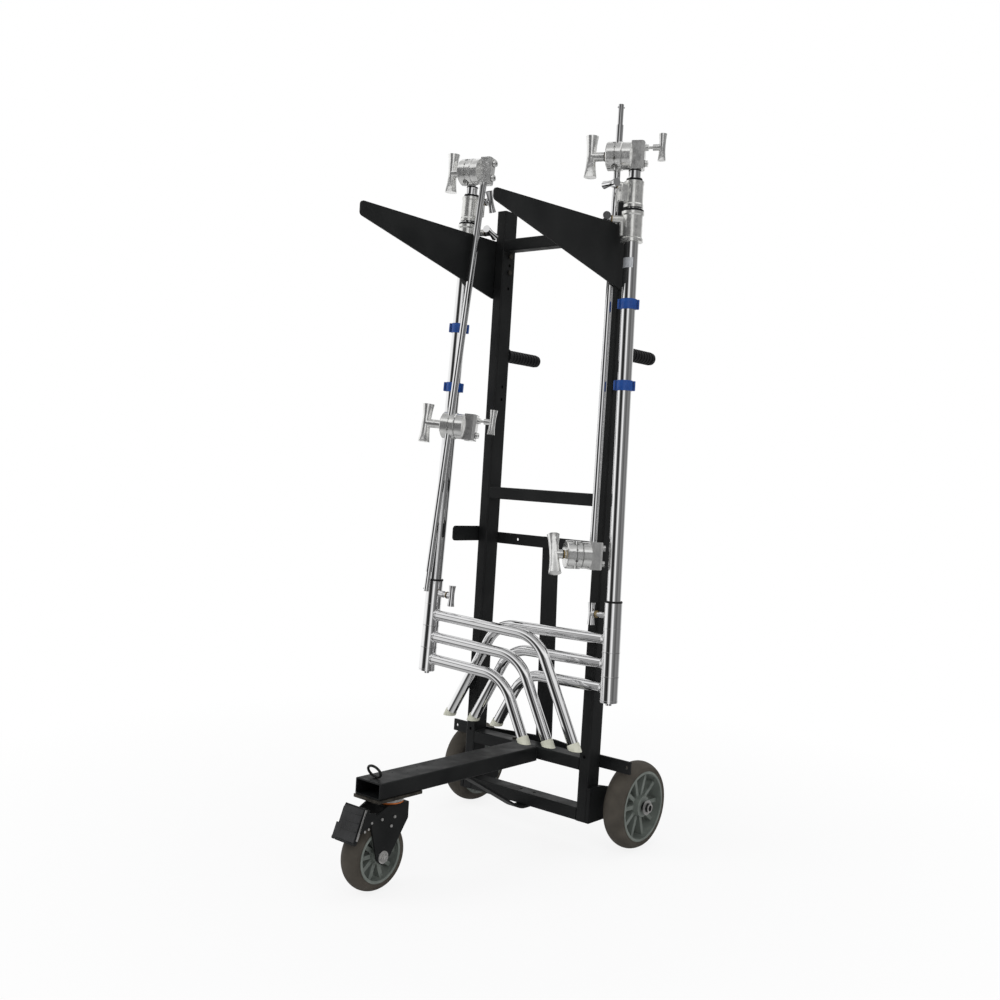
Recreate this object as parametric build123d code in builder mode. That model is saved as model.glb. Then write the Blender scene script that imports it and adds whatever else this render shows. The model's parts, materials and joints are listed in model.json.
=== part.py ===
"""Wheeled cart that carries two folding lighting stands with their grip heads and arms.

The cart is drawn in its own frame: X to the right, Y to the rear, and Z up the uprights from their
lower ends. Each stand is drawn with Z up its column from the bottom of its base and X along its
folded legs, and each grip head with X along its clamping bolt and Z along its socket. At the end
everything leans back as the wheels make it, and the origin goes to the middle of the floor under it.
"""
from build123d import *
import os
from dataclasses import dataclass
from math import asin, atan2, cos, degrees, hypot, radians, sin, sqrt, tan

os.makedirs("parts", exist_ok=True)

# Uprights and crossbars
frame_width = 372           # over the outer faces of the two uprights
tube_x = 28                 # upright section, across the cart
tube_y = 46                 # upright section, front to rear
tube_wall = 2.5
tube_corner = 4
upright_height = 1418
bar_height = 28.6           # height of every crossbar section
bar_corner = 3
top_bar_top = 1350
top_bar_depth = 31.5
middle_bar_top = 746.6
middle_bar_depth = 31
base_bar_top = 144
base_bar_depth = 45
outer_x = frame_width / 2
inner_x = outer_x - tube_x
upright_x = outer_x - tube_x / 2

# Holes and bolts in the uprights
bolt_hole_radius = 4
side_hole_y = 25
side_hole_heights = (962, 993, 1234, 1290)
side_bolt_heights = (1273, 1312)
front_hole_heights = (148,)
base_hole_spots = (-20, 20)  # across the lower base crossbar
bolt_head_radius = 6.5
bolt_head_height = 4

# Hanger plates on the outer faces, which carry the stands
plate_thickness = 4
plate_top = 1347.5
plate_reach = 450           # from the uprights' front face to the tip
plate_root_height = 140
plate_tip_height = 31
plate_droop = {"hanger_left": 0, "hanger_right": 16}    # at the top of the tip
droop_start = 75            # ahead of the uprights, past the stand's boss
plate_tip_radius = 9
plate_out = outer_x + plate_thickness

# Flat bars behind the uprights
strip_thickness = 5
rear_middle_bottom = 608
rear_middle_height = 27
rear_middle_hole_x = 98
rear_lower_height = 28.5
rear_lower_reach = 267      # half length
rear_lower_bend_x = 150
rear_lower_flat_x = 32
rear_lower_bow = 30         # how far its middle stands behind its ends
rear_lower_hole_x = 257
post_width = 45
side_arm_reach = 90
side_arm_height = 36
side_arm_bottom = 612

# Grips on the rear faces
grip_height = 1072
grip_radius = 14.3
grip_rib = 1.2
grip_length = 125
grip_flange_radius = 19
grip_flange = 4
grip_rib_pitch = 11.5

# Tongue to the front caster, with its brace and tow ring
tongue_width = 71
tongue_height = 34
tongue_wall = 3
tongue_reach = 510
brace_width = 32
brace_start = 250           # where the brace meets the tongue, ahead of the uprights
brace_flat = 30
brace_heel = 20
brace_end = 35              # behind the uprights' front face
brace_bend = 70
ring_wire = 2.7
ring_width = 35
ring_height = 27
ring_lean = 26              # forward, from upright
ring_x = -3
ring_y = -485
tongue_bottom = base_bar_top - tongue_height

# Rear wheels
wheel_radius = 100
wheel_width = 50
wheel_rim_radius = 80.5
wheel_rim_wall = 6
wheel_hub_radius = 24
wheel_x = 244
axle_y = 110
axle_z = 36.9
axle_radius = 10
axle_end_x = 287
axle_fit = 0.1
bracket_thickness = 8
bracket_height = 80
bracket_reach = 138
spoke_count = 10
spoke_width = 9
spoke_root = 1              # how far each spoke runs into hub and rim
wheel_rest_clear = 2        # between the tyres and the rear lower bar

# Front caster
caster_y = -450             # swivel axis
caster_trail = 36
caster_radius = 75
caster_width = 47
caster_rim_radius = 56
caster_rim_wall = 5
caster_hub_radius = 17
caster_axle_z = -9.5
caster_plate_length = 128
caster_plate_width = 75
caster_plate_thickness = 6
race_radius = 31
race_height = 11
fork_gap = 0.4
fork_crown = 5
fork_wall = 4
fork_clear = 3              # between the wheel and each fork leg
fork_corner = 6
fork_nose = (40, 22)        # front corner: ahead of the axle, below the crown
fork_tip = 18               # below the axle
fork_tip_front = (17, 4)    # ahead of the axle, below it
fork_tip_rear = (19, 2)     # behind the axle, below it
fork_heel = 34              # rear corner below the crown
rivet_radius = 3
rivet_height = 2
rivet_spots = ((-9, 78.5), (18, 60.5), (27, 77.5))  # behind and above the axle
nut_height = 6
kingpin_nut = 10.2          # corner radius
kingpin_radius = 6
axle_bolt_radius = 5
bolt_fit = 0.05
pedal_width = 58
pedal_thickness = 7
pedal_length = 74
pedal_slope = 21
pedal_corner = 5
pedal_pivot_spot = (38, 14) # ahead of the axle, below the crown
pedal_pad_spot = (11, 18)   # pad's top edge: ahead of the pivot, above it
ear_rear = 8
ear_front = 16              # at its top, more below, along the pad
ear_top = 12
ear_drop = 26
ear_plate_height = 30

# Stands
column_radius = 16
column_wall = 1.6
riser_radius = 12.5
top_riser_radius = 9.5
riser_wall = 1.5
slide_fit = 0.08
sleeve_radius = 19.8
hub_step = 0.3              # between the turning hubs of the legs
leg_pitch = 54              # height between one leg and the next
leg_radius = 12.5
leg_wall = 1.6
leg_heights = {"bottom": 27, "middle": 81, "top": 135}
leg_corners = {"bottom": 241, "middle": 284, "top": 330}
leg_slope = 60
leg_bend = 90
foot_level = -110           # underside of the feet, below the bottom of the base
foot_rise = 12
foot_wall = 1.3
sleeve_top = 218
stud_radius = 7
stud_length = 10
collar_height = 60
lower_collar_base = 1017
lower_collar_radius = 22.5
flange_radius = 25
flange_height = 6
collar_top = lower_collar_base + collar_height + flange_height
band_height = 5
collar_gap = 4              # between the lower collar's ring and the upper collar
upper_collar_base = collar_top + band_height + collar_gap
upper_collar_radius = 22
upper_collar_height = 58
upper_collar_top = upper_collar_base + upper_collar_height
boss_radius = 8
boss_end = 45
lower_knob_drop = 17        # from a collar's top down to its knob
upper_knob_drop = 13
lower_knob_height = collar_top - lower_knob_drop
upper_knob_height = upper_collar_top - upper_knob_drop
base_knob_height = 188
base_boss_end = 33
seal_radius = 17.5
seal_height = 7
pin_base_radius = 13.5
pin_base_height = 15.5
pin_ring_height = 3.5
pin_radius = 7.95
pin_length = 65
rest_gap = 0.3              # under the boss that hangs on the plate
clip_wall = 2
clip_height = 24

# Knobs with a cross bar
screw_radius = 5
screw_fit = 0.1
washer_thickness = 2
washer_radius = 8
knob_hub_radius = 7.5
knob_bar_radius = 8.8
knob_bar_waist = 6.8
knob_bar_length = 50
knob_bar_offset = 13        # bar centre beyond the washer

# Grip heads and arms
rod_radius = 8
rod_fit = 0.06
socket_radius = 8.5
head_height = 62
block_half = 14.5
block_near = -8
block_far = 21
block_chamfer = 6
block_edge = 3
cheek_radius = 30
cheek_far = -26.6
jaw_radius = 31.5
groove_out = 42.5           # from the socket axis to the plane between the jaws
groove_side = 14.5          # from the bolt axis to the rod in its groove
notch_spot = 12             # from the bolt axis to the square notches across the jaws
notch_small = 4
notch_large = 6
jaw_edge = 2
jaw_gap = 1.2
inner_jaw = 15.5
outer_jaw = 20.5
jaw_bolt_radius = 5
collar_washer = 7
handle_hub_radius = 10
handle_collar_radius = 9
bolt_end_gap = 2            # from the bolt's end to the socket
handle_bar_out = {"left_arm": 95, "left_head": 108, "right_head": 100, "right_arm": 88}
right_arm_handle_roll = 25
handle_bar_length = 91
handle_bar_radius = 14.5
handle_bar_waist = 10.5
socket_bolt_radius = 7
socket_bolt_height = 7
socket_bolt_offset = 17.5
small_bar_length = 58
small_bar_radius = 9
small_bar_waist = 7
small_bar_out = 30          # bar centre beyond the bolt's boss
small_screw_radius = 3.2
arm_length = 1040
tip_length = 46
tip_radius = 6.2
tip_pin_radius = 2
tip_pin_length = 16
head_seat = 0.5

# How each arm and loose head is set
left_arm_turn = 8
left_arm_swing = 4.6
left_head_turn = 22
left_head_level = 612       # below the arm's own head
right_head_turn = 23
right_head_tilt = 0.8
right_arm_swing = 0.9
right_arm_turn = 50
right_arm_level = 889


@dataclass
class Stand:
    """How one stand hangs on its plate; its legs point to the other side of the cart."""

    side: int
    plate_gap: float
    hang_y: float
    side_tilt: float
    back_tilt: float
    lower_angle: float
    upper_angle: float
    lower_roll: float
    upper_roll: float
    foot_step: float            # how much higher the foot of each higher leg ends
    clips: tuple


stands = {
    "left": Stand(-1, 0.4, -69, 2.0, -0.77, 15, 3, 80, 25, 8.5, (691, 834)),
    "right": Stand(1, 5.5, -15, 0.95, 0.0, 42, 66, 95, 85, 0, (700, 880)),
}

pieces = {}
cart = Location()


def keep(name, part, place=cart):
    """Files a finished piece under its name, with the place where it goes on the cart."""
    pieces[name] = place * part if place is not cart else part


# ---------------------------------------------------------------- cart frame
for side, name in ((-1, "upright_left"), (1, "upright_right")):
    with BuildPart() as upright:
        with BuildSketch():
            with Locations((side * upright_x, tube_y / 2)):
                RectangleRounded(tube_x, tube_y, tube_corner)
                RectangleRounded(
                    tube_x - 2 * tube_wall, tube_y - 2 * tube_wall, tube_corner - tube_wall, mode=Mode.SUBTRACT
                )
        extrude(amount=upright_height)
        with Locations(*[(side * inner_x, side_hole_y, z) for z in side_hole_heights]):
            Cylinder(bolt_hole_radius, 3 * tube_wall, rotation=(0, 90, 0), mode=Mode.SUBTRACT)
        with Locations(*[(side * upright_x, 0, z) for z in front_hole_heights]):
            Cylinder(bolt_hole_radius, 3 * tube_wall, rotation=(90, 0, 0), mode=Mode.SUBTRACT)
    keep(name, upright.part)


def crossbar(top, depth):
    """Square tube from one upright to the other, flush with their front faces."""
    with BuildPart() as bar:
        with BuildSketch(Plane.YZ.offset(-inner_x)):
            with Locations((depth / 2, top - bar_height / 2)):
                RectangleRounded(depth, bar_height, bar_corner)
                RectangleRounded(
                    depth - 2 * tube_wall, bar_height - 2 * tube_wall, bar_corner / 3, mode=Mode.SUBTRACT
                )
        extrude(amount=2 * inner_x)
    return bar.part


keep("top_crossbar", crossbar(top_bar_top, top_bar_depth))
keep("middle_crossbar", crossbar(middle_bar_top, middle_bar_depth))
keep("upper_base_crossbar", crossbar(base_bar_top, base_bar_depth))

with BuildPart() as lower_base:
    add(crossbar(bar_height, base_bar_depth))
    with Locations(*[(x, base_bar_depth / 2, bar_height) for x in base_hole_spots]):
        Cylinder(bolt_hole_radius, 3 * tube_wall, mode=Mode.SUBTRACT)
keep("lower_base_crossbar", lower_base.part)

for side, name in ((-1, "hanger_left"), (1, "hanger_right")):
    with BuildPart() as plate:
        with BuildSketch(Plane.YZ.offset(side * outer_x)) as outline:
            with BuildLine():
                droop = plate_droop[name]
                Polyline(
                    (-plate_reach, plate_top - droop),
                    (-droop_start, plate_top),
                    (tube_y, plate_top),
                    (tube_y, plate_top - plate_root_height),
                    (0, plate_top - plate_root_height),
                    (-plate_reach, plate_top - plate_tip_height - droop / 2),
                    close=True,
                )
            make_face()
            fillet(outline.vertices().sort_by(Axis.X)[:2], plate_tip_radius)
        extrude(amount=side * plate_thickness)
    keep(name, plate.part)

with BuildPart() as rear_middle:
    with BuildSketch(Plane.XY.offset(rear_middle_bottom)):
        with Locations((0, tube_y + strip_thickness / 2)):
            Rectangle(frame_width, strip_thickness)
    extrude(amount=rear_middle_height)
    with Locations(*[(s * rear_middle_hole_x, tube_y, rear_middle_bottom + rear_middle_height / 2) for s in (-1, 1)]):
        Cylinder(bolt_hole_radius, 3 * strip_thickness, rotation=(90, 0, 0), mode=Mode.SUBTRACT)
    with BuildSketch(Plane.YZ.offset(-outer_x)) as arm_outline:
        with Locations(((tube_y - side_arm_reach) / 2, side_arm_bottom + side_arm_height / 2)):
            Rectangle(tube_y + side_arm_reach, side_arm_height)
        fillet(arm_outline.vertices().group_by(Axis.X)[0], plate_tip_radius)
    extrude(amount=-plate_thickness)
keep("rear_middle_bar", rear_middle.part)

rear_strip_back = tube_y + strip_thickness
rear_lower_bottom = axle_z + sqrt((wheel_radius + wheel_rest_clear) ** 2 - (axle_y - rear_strip_back) ** 2)
rear_lower_top = rear_lower_bottom + rear_lower_height
with BuildPart() as rear_lower:
    with BuildSketch(Plane.XY.offset(rear_lower_bottom)):
        with BuildLine():
            front = [(rear_lower_reach, tube_y), (rear_lower_bend_x, tube_y),
                     (rear_lower_flat_x, tube_y + rear_lower_bow)]
            back = [(x, y + strip_thickness) for x, y in front]
            Polyline(*front, *[(-x, y) for x, y in reversed(front)], *[(-x, y) for x, y in back],
                     *reversed(back), close=True)
        make_face()
    extrude(amount=rear_lower_height)
    with Locations(*[(s * rear_lower_hole_x, tube_y, rear_lower_bottom + rear_lower_height / 2) for s in (-1, 1)]):
        Cylinder(bolt_hole_radius, 3 * strip_thickness, rotation=(90, 0, 0), mode=Mode.SUBTRACT)
keep("rear_lower_bar", rear_lower.part)

with BuildPart() as post:
    with BuildSketch(Plane.YZ):
        with BuildLine():
            post_front = [
                (tube_y + rear_lower_bow - strip_thickness, rear_lower_bottom),
                (tube_y + rear_lower_bow - strip_thickness, rear_lower_top),
                (rear_strip_back, rear_middle_bottom),
                (rear_strip_back, rear_middle_bottom + rear_middle_height),
            ]
            Polyline(*post_front, *[(y + strip_thickness, z) for y, z in reversed(post_front)], close=True)
        make_face()
    extrude(amount=post_width / 2, both=True)
keep("rear_post", post.part)

with BuildPart() as tongue:
    with BuildSketch(Plane.XZ):
        with Locations((0, base_bar_top - tongue_height / 2)):
            RectangleRounded(tongue_width, tongue_height, bar_corner)
            RectangleRounded(tongue_width - 2 * tongue_wall, tongue_height - 2 * tongue_wall, 1, mode=Mode.SUBTRACT)
    extrude(amount=tongue_reach)
with BuildPart() as tow_ring:
    ring_plane = Plane(origin=(ring_x, ring_y, base_bar_top + ring_wire), x_dir=(1, 0, 0),
                       z_dir=(0, -cos(radians(ring_lean)), -sin(radians(ring_lean))))
    with BuildLine(ring_plane) as loop:
        EllipticalCenterArc((0, ring_height / 2), ring_width / 2, ring_height / 2, start_angle=-90, arc_size=360)
    with BuildSketch(Plane(origin=loop.line @ 0, z_dir=loop.line % 0)):
        Circle(ring_wire)
    sweep(path=loop.line)
    split(bisect_by=Plane.XY.offset(base_bar_top), keep=Keep.TOP)
keep("tongue", Compound(children=[tongue.part.solid(), tow_ring.part.solid()]))

with BuildPart() as brace:
    with BuildSketch(Plane.YZ):
        with BuildLine():
            FilletPolyline(
                (-brace_start, tongue_bottom),
                (-brace_start + brace_flat, tongue_bottom),
                (-brace_heel, 0),
                (brace_end, 0),
                radius=brace_bend,
            )
            offset(amount=strip_thickness, side=Side.RIGHT)
        make_face()
    extrude(amount=brace_width / 2, both=True)
keep("tongue_brace", brace.part)

with BuildPart() as grips:
    rib_count = int((grip_length - 2 * grip_flange) // grip_rib_pitch)
    for side in (-1, 1):
        grip_plane = Plane(origin=(side * upright_x, tube_y, grip_height), x_dir=(1, 0, 0), z_dir=(0, 1, 0))
        with BuildSketch(grip_plane):
            Circle(grip_flange_radius)
        extrude(amount=grip_flange)
        with BuildSketch(grip_plane):
            Circle(grip_radius)
        extrude(amount=grip_length)
        for k in range(rib_count):
            with BuildSketch(grip_plane.offset(2 * grip_flange + k * grip_rib_pitch)):
                Circle(grip_radius + grip_rib)
            extrude(amount=grip_rib_pitch / 2)
keep("handle_grips", grips.part)

# ---------------------------------------------------------------- rear wheels
with BuildPart() as rear_axles:
    for side in (-1, 1):
        with BuildSketch(Plane.YZ.offset(side * outer_x)) as bracket:
            with BuildLine():
                Polyline((0, 0), (bracket_reach, 0), (bracket_reach, axle_z + 2 * axle_radius),
                         (tube_y, bracket_height), (0, bracket_height), close=True)
            make_face()
            fillet(bracket.vertices().group_by(Axis.X)[-1], plate_tip_radius)
        extrude(amount=side * bracket_thickness)
        with BuildSketch(Plane.YZ.offset(side * outer_x)):
            with Locations((axle_y, axle_z)):
                Circle(axle_radius)
        extrude(amount=side * (axle_end_x - outer_x))
keep("rear_axles", rear_axles.part)


def wheel_hub(width, bore, hub_radius, rim_radius, rim_wall):
    """Spoked wheel centre on the X axis, open between its spokes."""
    with BuildPart() as hub:
        with BuildSketch(Plane.YZ):
            Circle(rim_radius)
            Circle(rim_radius - rim_wall, mode=Mode.SUBTRACT)
        extrude(amount=width / 2, both=True)
        with BuildSketch(Plane.YZ):
            Circle(hub_radius)
        extrude(amount=width / 2, both=True)
        with BuildSketch(Plane.YZ):
            with PolarLocations((hub_radius + rim_radius - rim_wall) / 2, spoke_count):
                Rectangle(rim_radius - rim_wall - hub_radius + 2 * spoke_root, spoke_width)
        extrude(amount=width / 4, both=True)
        with BuildSketch(Plane.YZ):
            Circle(bore)
        extrude(amount=width, both=True, mode=Mode.SUBTRACT)
    return hub.part


def tyre(radius, width, rim_radius):
    """Rubber tyre on the X axis, its tread rounded over its full width."""
    with BuildPart() as rubber:
        with BuildSketch(Plane.XY):
            with BuildLine():
                shoulder = radius - width / 5
                Line((-width / 2, rim_radius), (width / 2, rim_radius))
                Line((width / 2, rim_radius), (width / 2, shoulder))
                ThreePointArc((width / 2, shoulder), (0, radius), (-width / 2, shoulder))
                Line((-width / 2, shoulder), (-width / 2, rim_radius))
            make_face()
        revolve(axis=Axis.X)
    return rubber.part


for side, name in ((-1, "left"), (1, "right")):
    centre = Location((side * wheel_x, axle_y, axle_z))
    hub_part = wheel_hub(wheel_width, axle_radius + axle_fit, wheel_hub_radius, wheel_rim_radius, wheel_rim_wall)
    keep(f"rear_hub_{name}", hub_part, centre)
    keep(f"rear_tyre_{name}", tyre(wheel_radius, wheel_width, wheel_rim_radius), centre)

# ---------------------------------------------------------------- front caster
caster_top = tongue_bottom
race_bottom = caster_top - caster_plate_thickness - race_height
with BuildPart() as caster_plate:
    with BuildSketch(Plane.XY.offset(caster_top - caster_plate_thickness)) as base:
        with Locations((0, caster_y)):
            Rectangle(caster_plate_width, caster_plate_length)
        fillet(base.vertices(), bar_corner)
    extrude(amount=caster_plate_thickness)
    with BuildSketch(Plane.XY.offset(race_bottom)):
        with Locations((0, caster_y)):
            Circle(race_radius)
    extrude(amount=race_height)
    with Locations((0, caster_y, race_bottom)):
        Cylinder(kingpin_radius + fork_gap, 2 * race_height, mode=Mode.SUBTRACT)
keep("caster_plate", caster_plate.part)

wheel_y = caster_y - caster_trail
crown_top = race_bottom - fork_gap
fork_inner = caster_width / 2 + fork_clear
fork_leg = [
    (caster_y + race_radius, crown_top), (caster_y - race_radius, crown_top),
    (wheel_y - fork_nose[0], crown_top - fork_nose[1]),
    (wheel_y - fork_tip_front[0], caster_axle_z - fork_tip_front[1]), (wheel_y, caster_axle_z - fork_tip),
    (wheel_y + fork_tip_rear[0], caster_axle_z - fork_tip_rear[1]),
    (caster_y + race_radius, crown_top - fork_heel),
]
with BuildPart() as caster_fork:
    with BuildSketch(Plane.XY.offset(crown_top - fork_crown)):
        with Locations((0, caster_y)):
            Rectangle(2 * (fork_inner + fork_wall), 2 * race_radius)
    extrude(amount=fork_crown)
    for side in (-1, 1):
        with BuildSketch(Plane.YZ.offset(side * fork_inner)) as leg_outline:
            with BuildLine():
                Polyline(*fork_leg, close=True)
            make_face()
            fillet(leg_outline.vertices().sort_by(Axis.Y)[:3], fork_corner)
        extrude(amount=side * fork_wall)
    with BuildSketch(Plane.YZ.offset(-fork_inner - 2 * fork_wall)):
        with Locations((wheel_y, caster_axle_z)):
            Circle(axle_bolt_radius + bolt_fit)
    extrude(amount=2 * fork_inner + 4 * fork_wall, mode=Mode.SUBTRACT)
    with Locations((0, caster_y, crown_top)):
        Cylinder(kingpin_radius + bolt_fit, 4 * fork_crown, mode=Mode.SUBTRACT)
keep("caster_fork", caster_fork.part)

caster_centre = Location((0, wheel_y, caster_axle_z))
caster_wheel = wheel_hub(
    caster_width, axle_bolt_radius + axle_fit, caster_hub_radius, caster_rim_radius, caster_rim_wall
)
keep("caster_hub", caster_wheel, caster_centre)
keep("caster_tyre", tyre(caster_radius, caster_width, caster_rim_radius), caster_centre)

fork_outer = fork_inner + fork_wall
with BuildPart() as fasteners:
    with BuildSketch(Plane.YZ.offset(-fork_outer)):
        with Locations((wheel_y, caster_axle_z)):
            Circle(axle_bolt_radius)
    extrude(amount=2 * fork_outer)
    for side in (-1, 1):
        with BuildSketch(Plane.YZ.offset(side * fork_outer)):
            with Locations((wheel_y, caster_axle_z)):
                RegularPolygon(2 * axle_bolt_radius, 6)
        extrude(amount=side * nut_height)
    with BuildSketch(Plane.XY.offset(crown_top - fork_crown)):
        with Locations((0, caster_y)):
            Circle(kingpin_radius)
    extrude(amount=fork_crown + fork_gap + race_height - fork_gap)
    with BuildSketch(Plane.XY.offset(crown_top - fork_crown - nut_height)):
        with Locations((0, caster_y)):
            RegularPolygon(kingpin_nut, 6)
    extrude(amount=nut_height)
    with BuildSketch(Plane.YZ.offset(fork_outer)):
        with Locations(*[(wheel_y + y, caster_axle_z + z) for y, z in rivet_spots]):
            Circle(rivet_radius)
    extrude(amount=rivet_height)
keep("caster_fasteners", fasteners.part)

pedal_y = wheel_y - pedal_pivot_spot[0]
pedal_z = crown_top - pedal_pivot_spot[1]
with BuildPart() as pedal:
    pedal_plane = Plane(origin=(0, pedal_y - pedal_pad_spot[0], pedal_z + pedal_pad_spot[1]), x_dir=(1, 0, 0),
                        z_dir=(0, -cos(radians(pedal_slope)), sin(radians(pedal_slope))))
    with BuildSketch(pedal_plane) as pad:
        with Locations((0, -pedal_length / 2)):
            RectangleRounded(pedal_width, pedal_length, pedal_corner)
    extrude(amount=pedal_thickness)
    with BuildSketch(pedal_plane):
        with Locations((0, -ear_plate_height / 2)):
            Rectangle(2 * (fork_outer + fork_gap + fork_wall), ear_plate_height)
    extrude(amount=-fork_wall / 2)
    for side in (-1, 1):
        with BuildSketch(Plane.YZ.offset(side * (fork_outer + fork_gap))) as ear:
            with BuildLine():
                Polyline((pedal_y + ear_rear, pedal_z - ear_rear), (pedal_y + ear_rear, pedal_z + ear_rear),
                         (pedal_y - ear_front, pedal_z + ear_top),
                         (pedal_y - ear_front - (ear_top + ear_drop) * tan(radians(pedal_slope)), pedal_z - ear_drop),
                         close=True)
            make_face()
        extrude(amount=side * fork_wall)
keep("brake_pedal", pedal.part)

# ---------------------------------------------------------------- frame bolts
with BuildPart() as frame_bolts:
    for side in (-1, 1):
        with BuildSketch(Plane.YZ.offset(side * inner_x)):
            with Locations(*[(side_hole_y, z) for z in side_bolt_heights]):
                RegularPolygon(bolt_head_radius, 6)
        extrude(amount=-side * bolt_head_height)
        with BuildSketch(Plane.XY.offset(base_bar_top)):
            with Locations((side * (tongue_width / 2 + 2 * bolt_head_radius), base_bar_depth / 2)):
                RegularPolygon(bolt_head_radius, 6)
        extrude(amount=bolt_head_height)
keep("frame_bolts", frame_bolts.part)


# ---------------------------------------------------------------- stands
def leg(level, foot_step):
    """One folding leg: a bent tube with a rubber foot cut level with the floor."""
    height = leg_heights[level]
    corner = leg_corners[level]
    sole = foot_level + foot_step * (height - leg_heights["bottom"]) / leg_pitch
    tube_end = corner + (height - sole - foot_rise) / tan(radians(leg_slope))
    ankle = (tube_end, 0, sole + foot_rise)
    with BuildPart() as tube:
        with BuildLine() as path:
            FilletPolyline((0, 0, height), (corner, 0, height), ankle, radius=leg_bend)
        with BuildSketch(Plane(origin=path.line @ 0, z_dir=path.line % 0)):
            Circle(leg_radius)
            Circle(leg_radius - leg_wall, mode=Mode.SUBTRACT)
        sweep(path=path.line)
        if level != "top":
            with Locations((0, 0, height)):
                Cylinder(sleeve_radius, leg_pitch - hub_step)
        bore = sleeve_radius if level == "top" else column_radius + slide_fit
        with Locations((0, 0, height)):
            Cylinder(bore, 2 * leg_pitch, mode=Mode.SUBTRACT)
    with BuildPart() as foot:
        slope = Plane(origin=ankle, x_dir=(0, 1, 0), z_dir=(cos(radians(leg_slope)), 0, -sin(radians(leg_slope))))
        with BuildSketch(slope):
            Circle(leg_radius + foot_wall)
        extrude(amount=2 * foot_rise)
        split(bisect_by=Plane.XY.offset(sole), keep=Keep.TOP)
    return Compound(children=[tube.part.solid(), foot.part.solid()])


def ring(profile):
    """Solid of revolution about Z from an outline of (radius, height) points."""
    with BuildPart() as turned:
        with BuildSketch(Plane.XZ):
            with BuildLine():
                Polyline(*profile, close=True)
            make_face()
        revolve(axis=Axis.Z)
    return turned.part


def boss_plane(angle, height):
    """Plane of a knob's screw: its Z points out of the column at an angle about it."""
    return Plane(origin=(0, 0, height), x_dir=(0, 0, 1), z_dir=(cos(radians(angle)), sin(radians(angle)), 0))


def cross_bar(centre, length, radius, waist):
    """Waisted cross bar along Z, its middle on the X axis at a given distance."""
    with BuildPart() as bar:
        with BuildSketch(Plane.XZ):
            with BuildLine():
                Line((centre, -length / 2), (centre + radius, -length / 2))
                ThreePointArc((centre + radius, -length / 2), (centre + waist, 0), (centre + radius, length / 2))
                Line((centre + radius, length / 2), (centre, length / 2))
                Line((centre, length / 2), (centre, -length / 2))
            make_face()
        revolve(axis=Axis((centre, 0, 0), (0, 0, 1)))
    return bar.part


def cross_knob(screw_start, washer_start):
    """Screw along X with a washer and a cross bar along Z."""
    bar_centre = washer_start + washer_thickness + knob_bar_offset
    with BuildPart() as knob:
        with BuildSketch(Plane.YZ.offset(screw_start)):
            Circle(screw_radius)
        extrude(amount=bar_centre - screw_start)
        with BuildSketch(Plane.YZ.offset(washer_start)):
            Circle(washer_radius)
        extrude(amount=washer_thickness)
        with BuildSketch(Plane.YZ.offset(washer_start + washer_thickness)):
            Circle(knob_hub_radius)
        extrude(amount=knob_bar_offset)
        add(cross_bar(bar_centre, knob_bar_length, knob_bar_radius, knob_bar_waist))
    return knob.part


def knob_place(angle, height, roll):
    """Where a knob goes on its stand: X out along its screw, its bar rolled about it."""
    out = Vector(cos(radians(angle)), sin(radians(angle)), 0)
    up = Vector(0, 0, 1).rotate(Axis((0, 0, 0), tuple(out)), roll)
    return Plane(origin=(0, 0, height), x_dir=out, z_dir=up).location


def head_body(socket):
    """Block of a grip head with its round cheek; the socket bore is left solid on an arm."""
    with BuildPart() as body:
        with BuildSketch(Plane.XY.offset(-head_height / 2)) as outline:
            with Locations(((block_near + block_far) / 2, 0)):
                Rectangle(block_far - block_near, 2 * block_half)
            chamfer(outline.vertices().group_by(Axis.X)[-1], block_chamfer)
        extrude(amount=head_height)
        with BuildSketch(Plane.YZ.offset(cheek_far)):
            Circle(cheek_radius)
        extrude(amount=block_near - cheek_far)
        fillet(body.edges().filter_by(Axis.Y).group_by(Axis.X)[-1], block_edge)
        with BuildSketch(Plane.YZ.offset(cheek_far)):
            Circle(jaw_bolt_radius + bolt_fit)
        extrude(amount=-cheek_far - socket_radius - 1, mode=Mode.SUBTRACT)
        if socket:
            with BuildSketch(Plane.XY.offset(-head_height)):
                Circle(socket_radius)
            extrude(amount=2 * head_height, mode=Mode.SUBTRACT)
    return body.part


def jaws():
    """The two round jaws that close on a rod, with a groove each side of the bolt."""
    parts = []
    for start, amount in (
        (-groove_out + jaw_gap / 2, inner_jaw - jaw_gap),
        (-groove_out - jaw_gap / 2, -outer_jaw + jaw_gap / 2),
    ):
        with BuildPart() as jaw:
            with BuildSketch(Plane.YZ.offset(start)):
                Circle(jaw_radius)
                Circle(jaw_bolt_radius + bolt_fit, mode=Mode.SUBTRACT)
            extrude(amount=amount)
            chamfer(jaw.faces().sort_by(Axis.X)[0 if amount < 0 else -1].edges().sort_by(SortBy.LENGTH)[-1], jaw_edge)
            with BuildSketch(Plane.XY.offset(-jaw_radius)):
                with Locations((-groove_out, -groove_side), (-groove_out, groove_side)):
                    Circle(rod_radius + rod_fit)
            extrude(amount=2 * jaw_radius, mode=Mode.SUBTRACT)
            with BuildSketch(Plane.XZ.offset(-jaw_radius)):
                with Locations((-groove_out, notch_spot)):
                    Rectangle(notch_small, notch_small, rotation=45)
                with Locations((-groove_out, -notch_spot)):
                    Rectangle(notch_large, notch_large, rotation=45)
            extrude(amount=2 * jaw_radius, mode=Mode.SUBTRACT)
        parts.append(jaw.part.solid())
    return Compound(children=parts)


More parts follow.
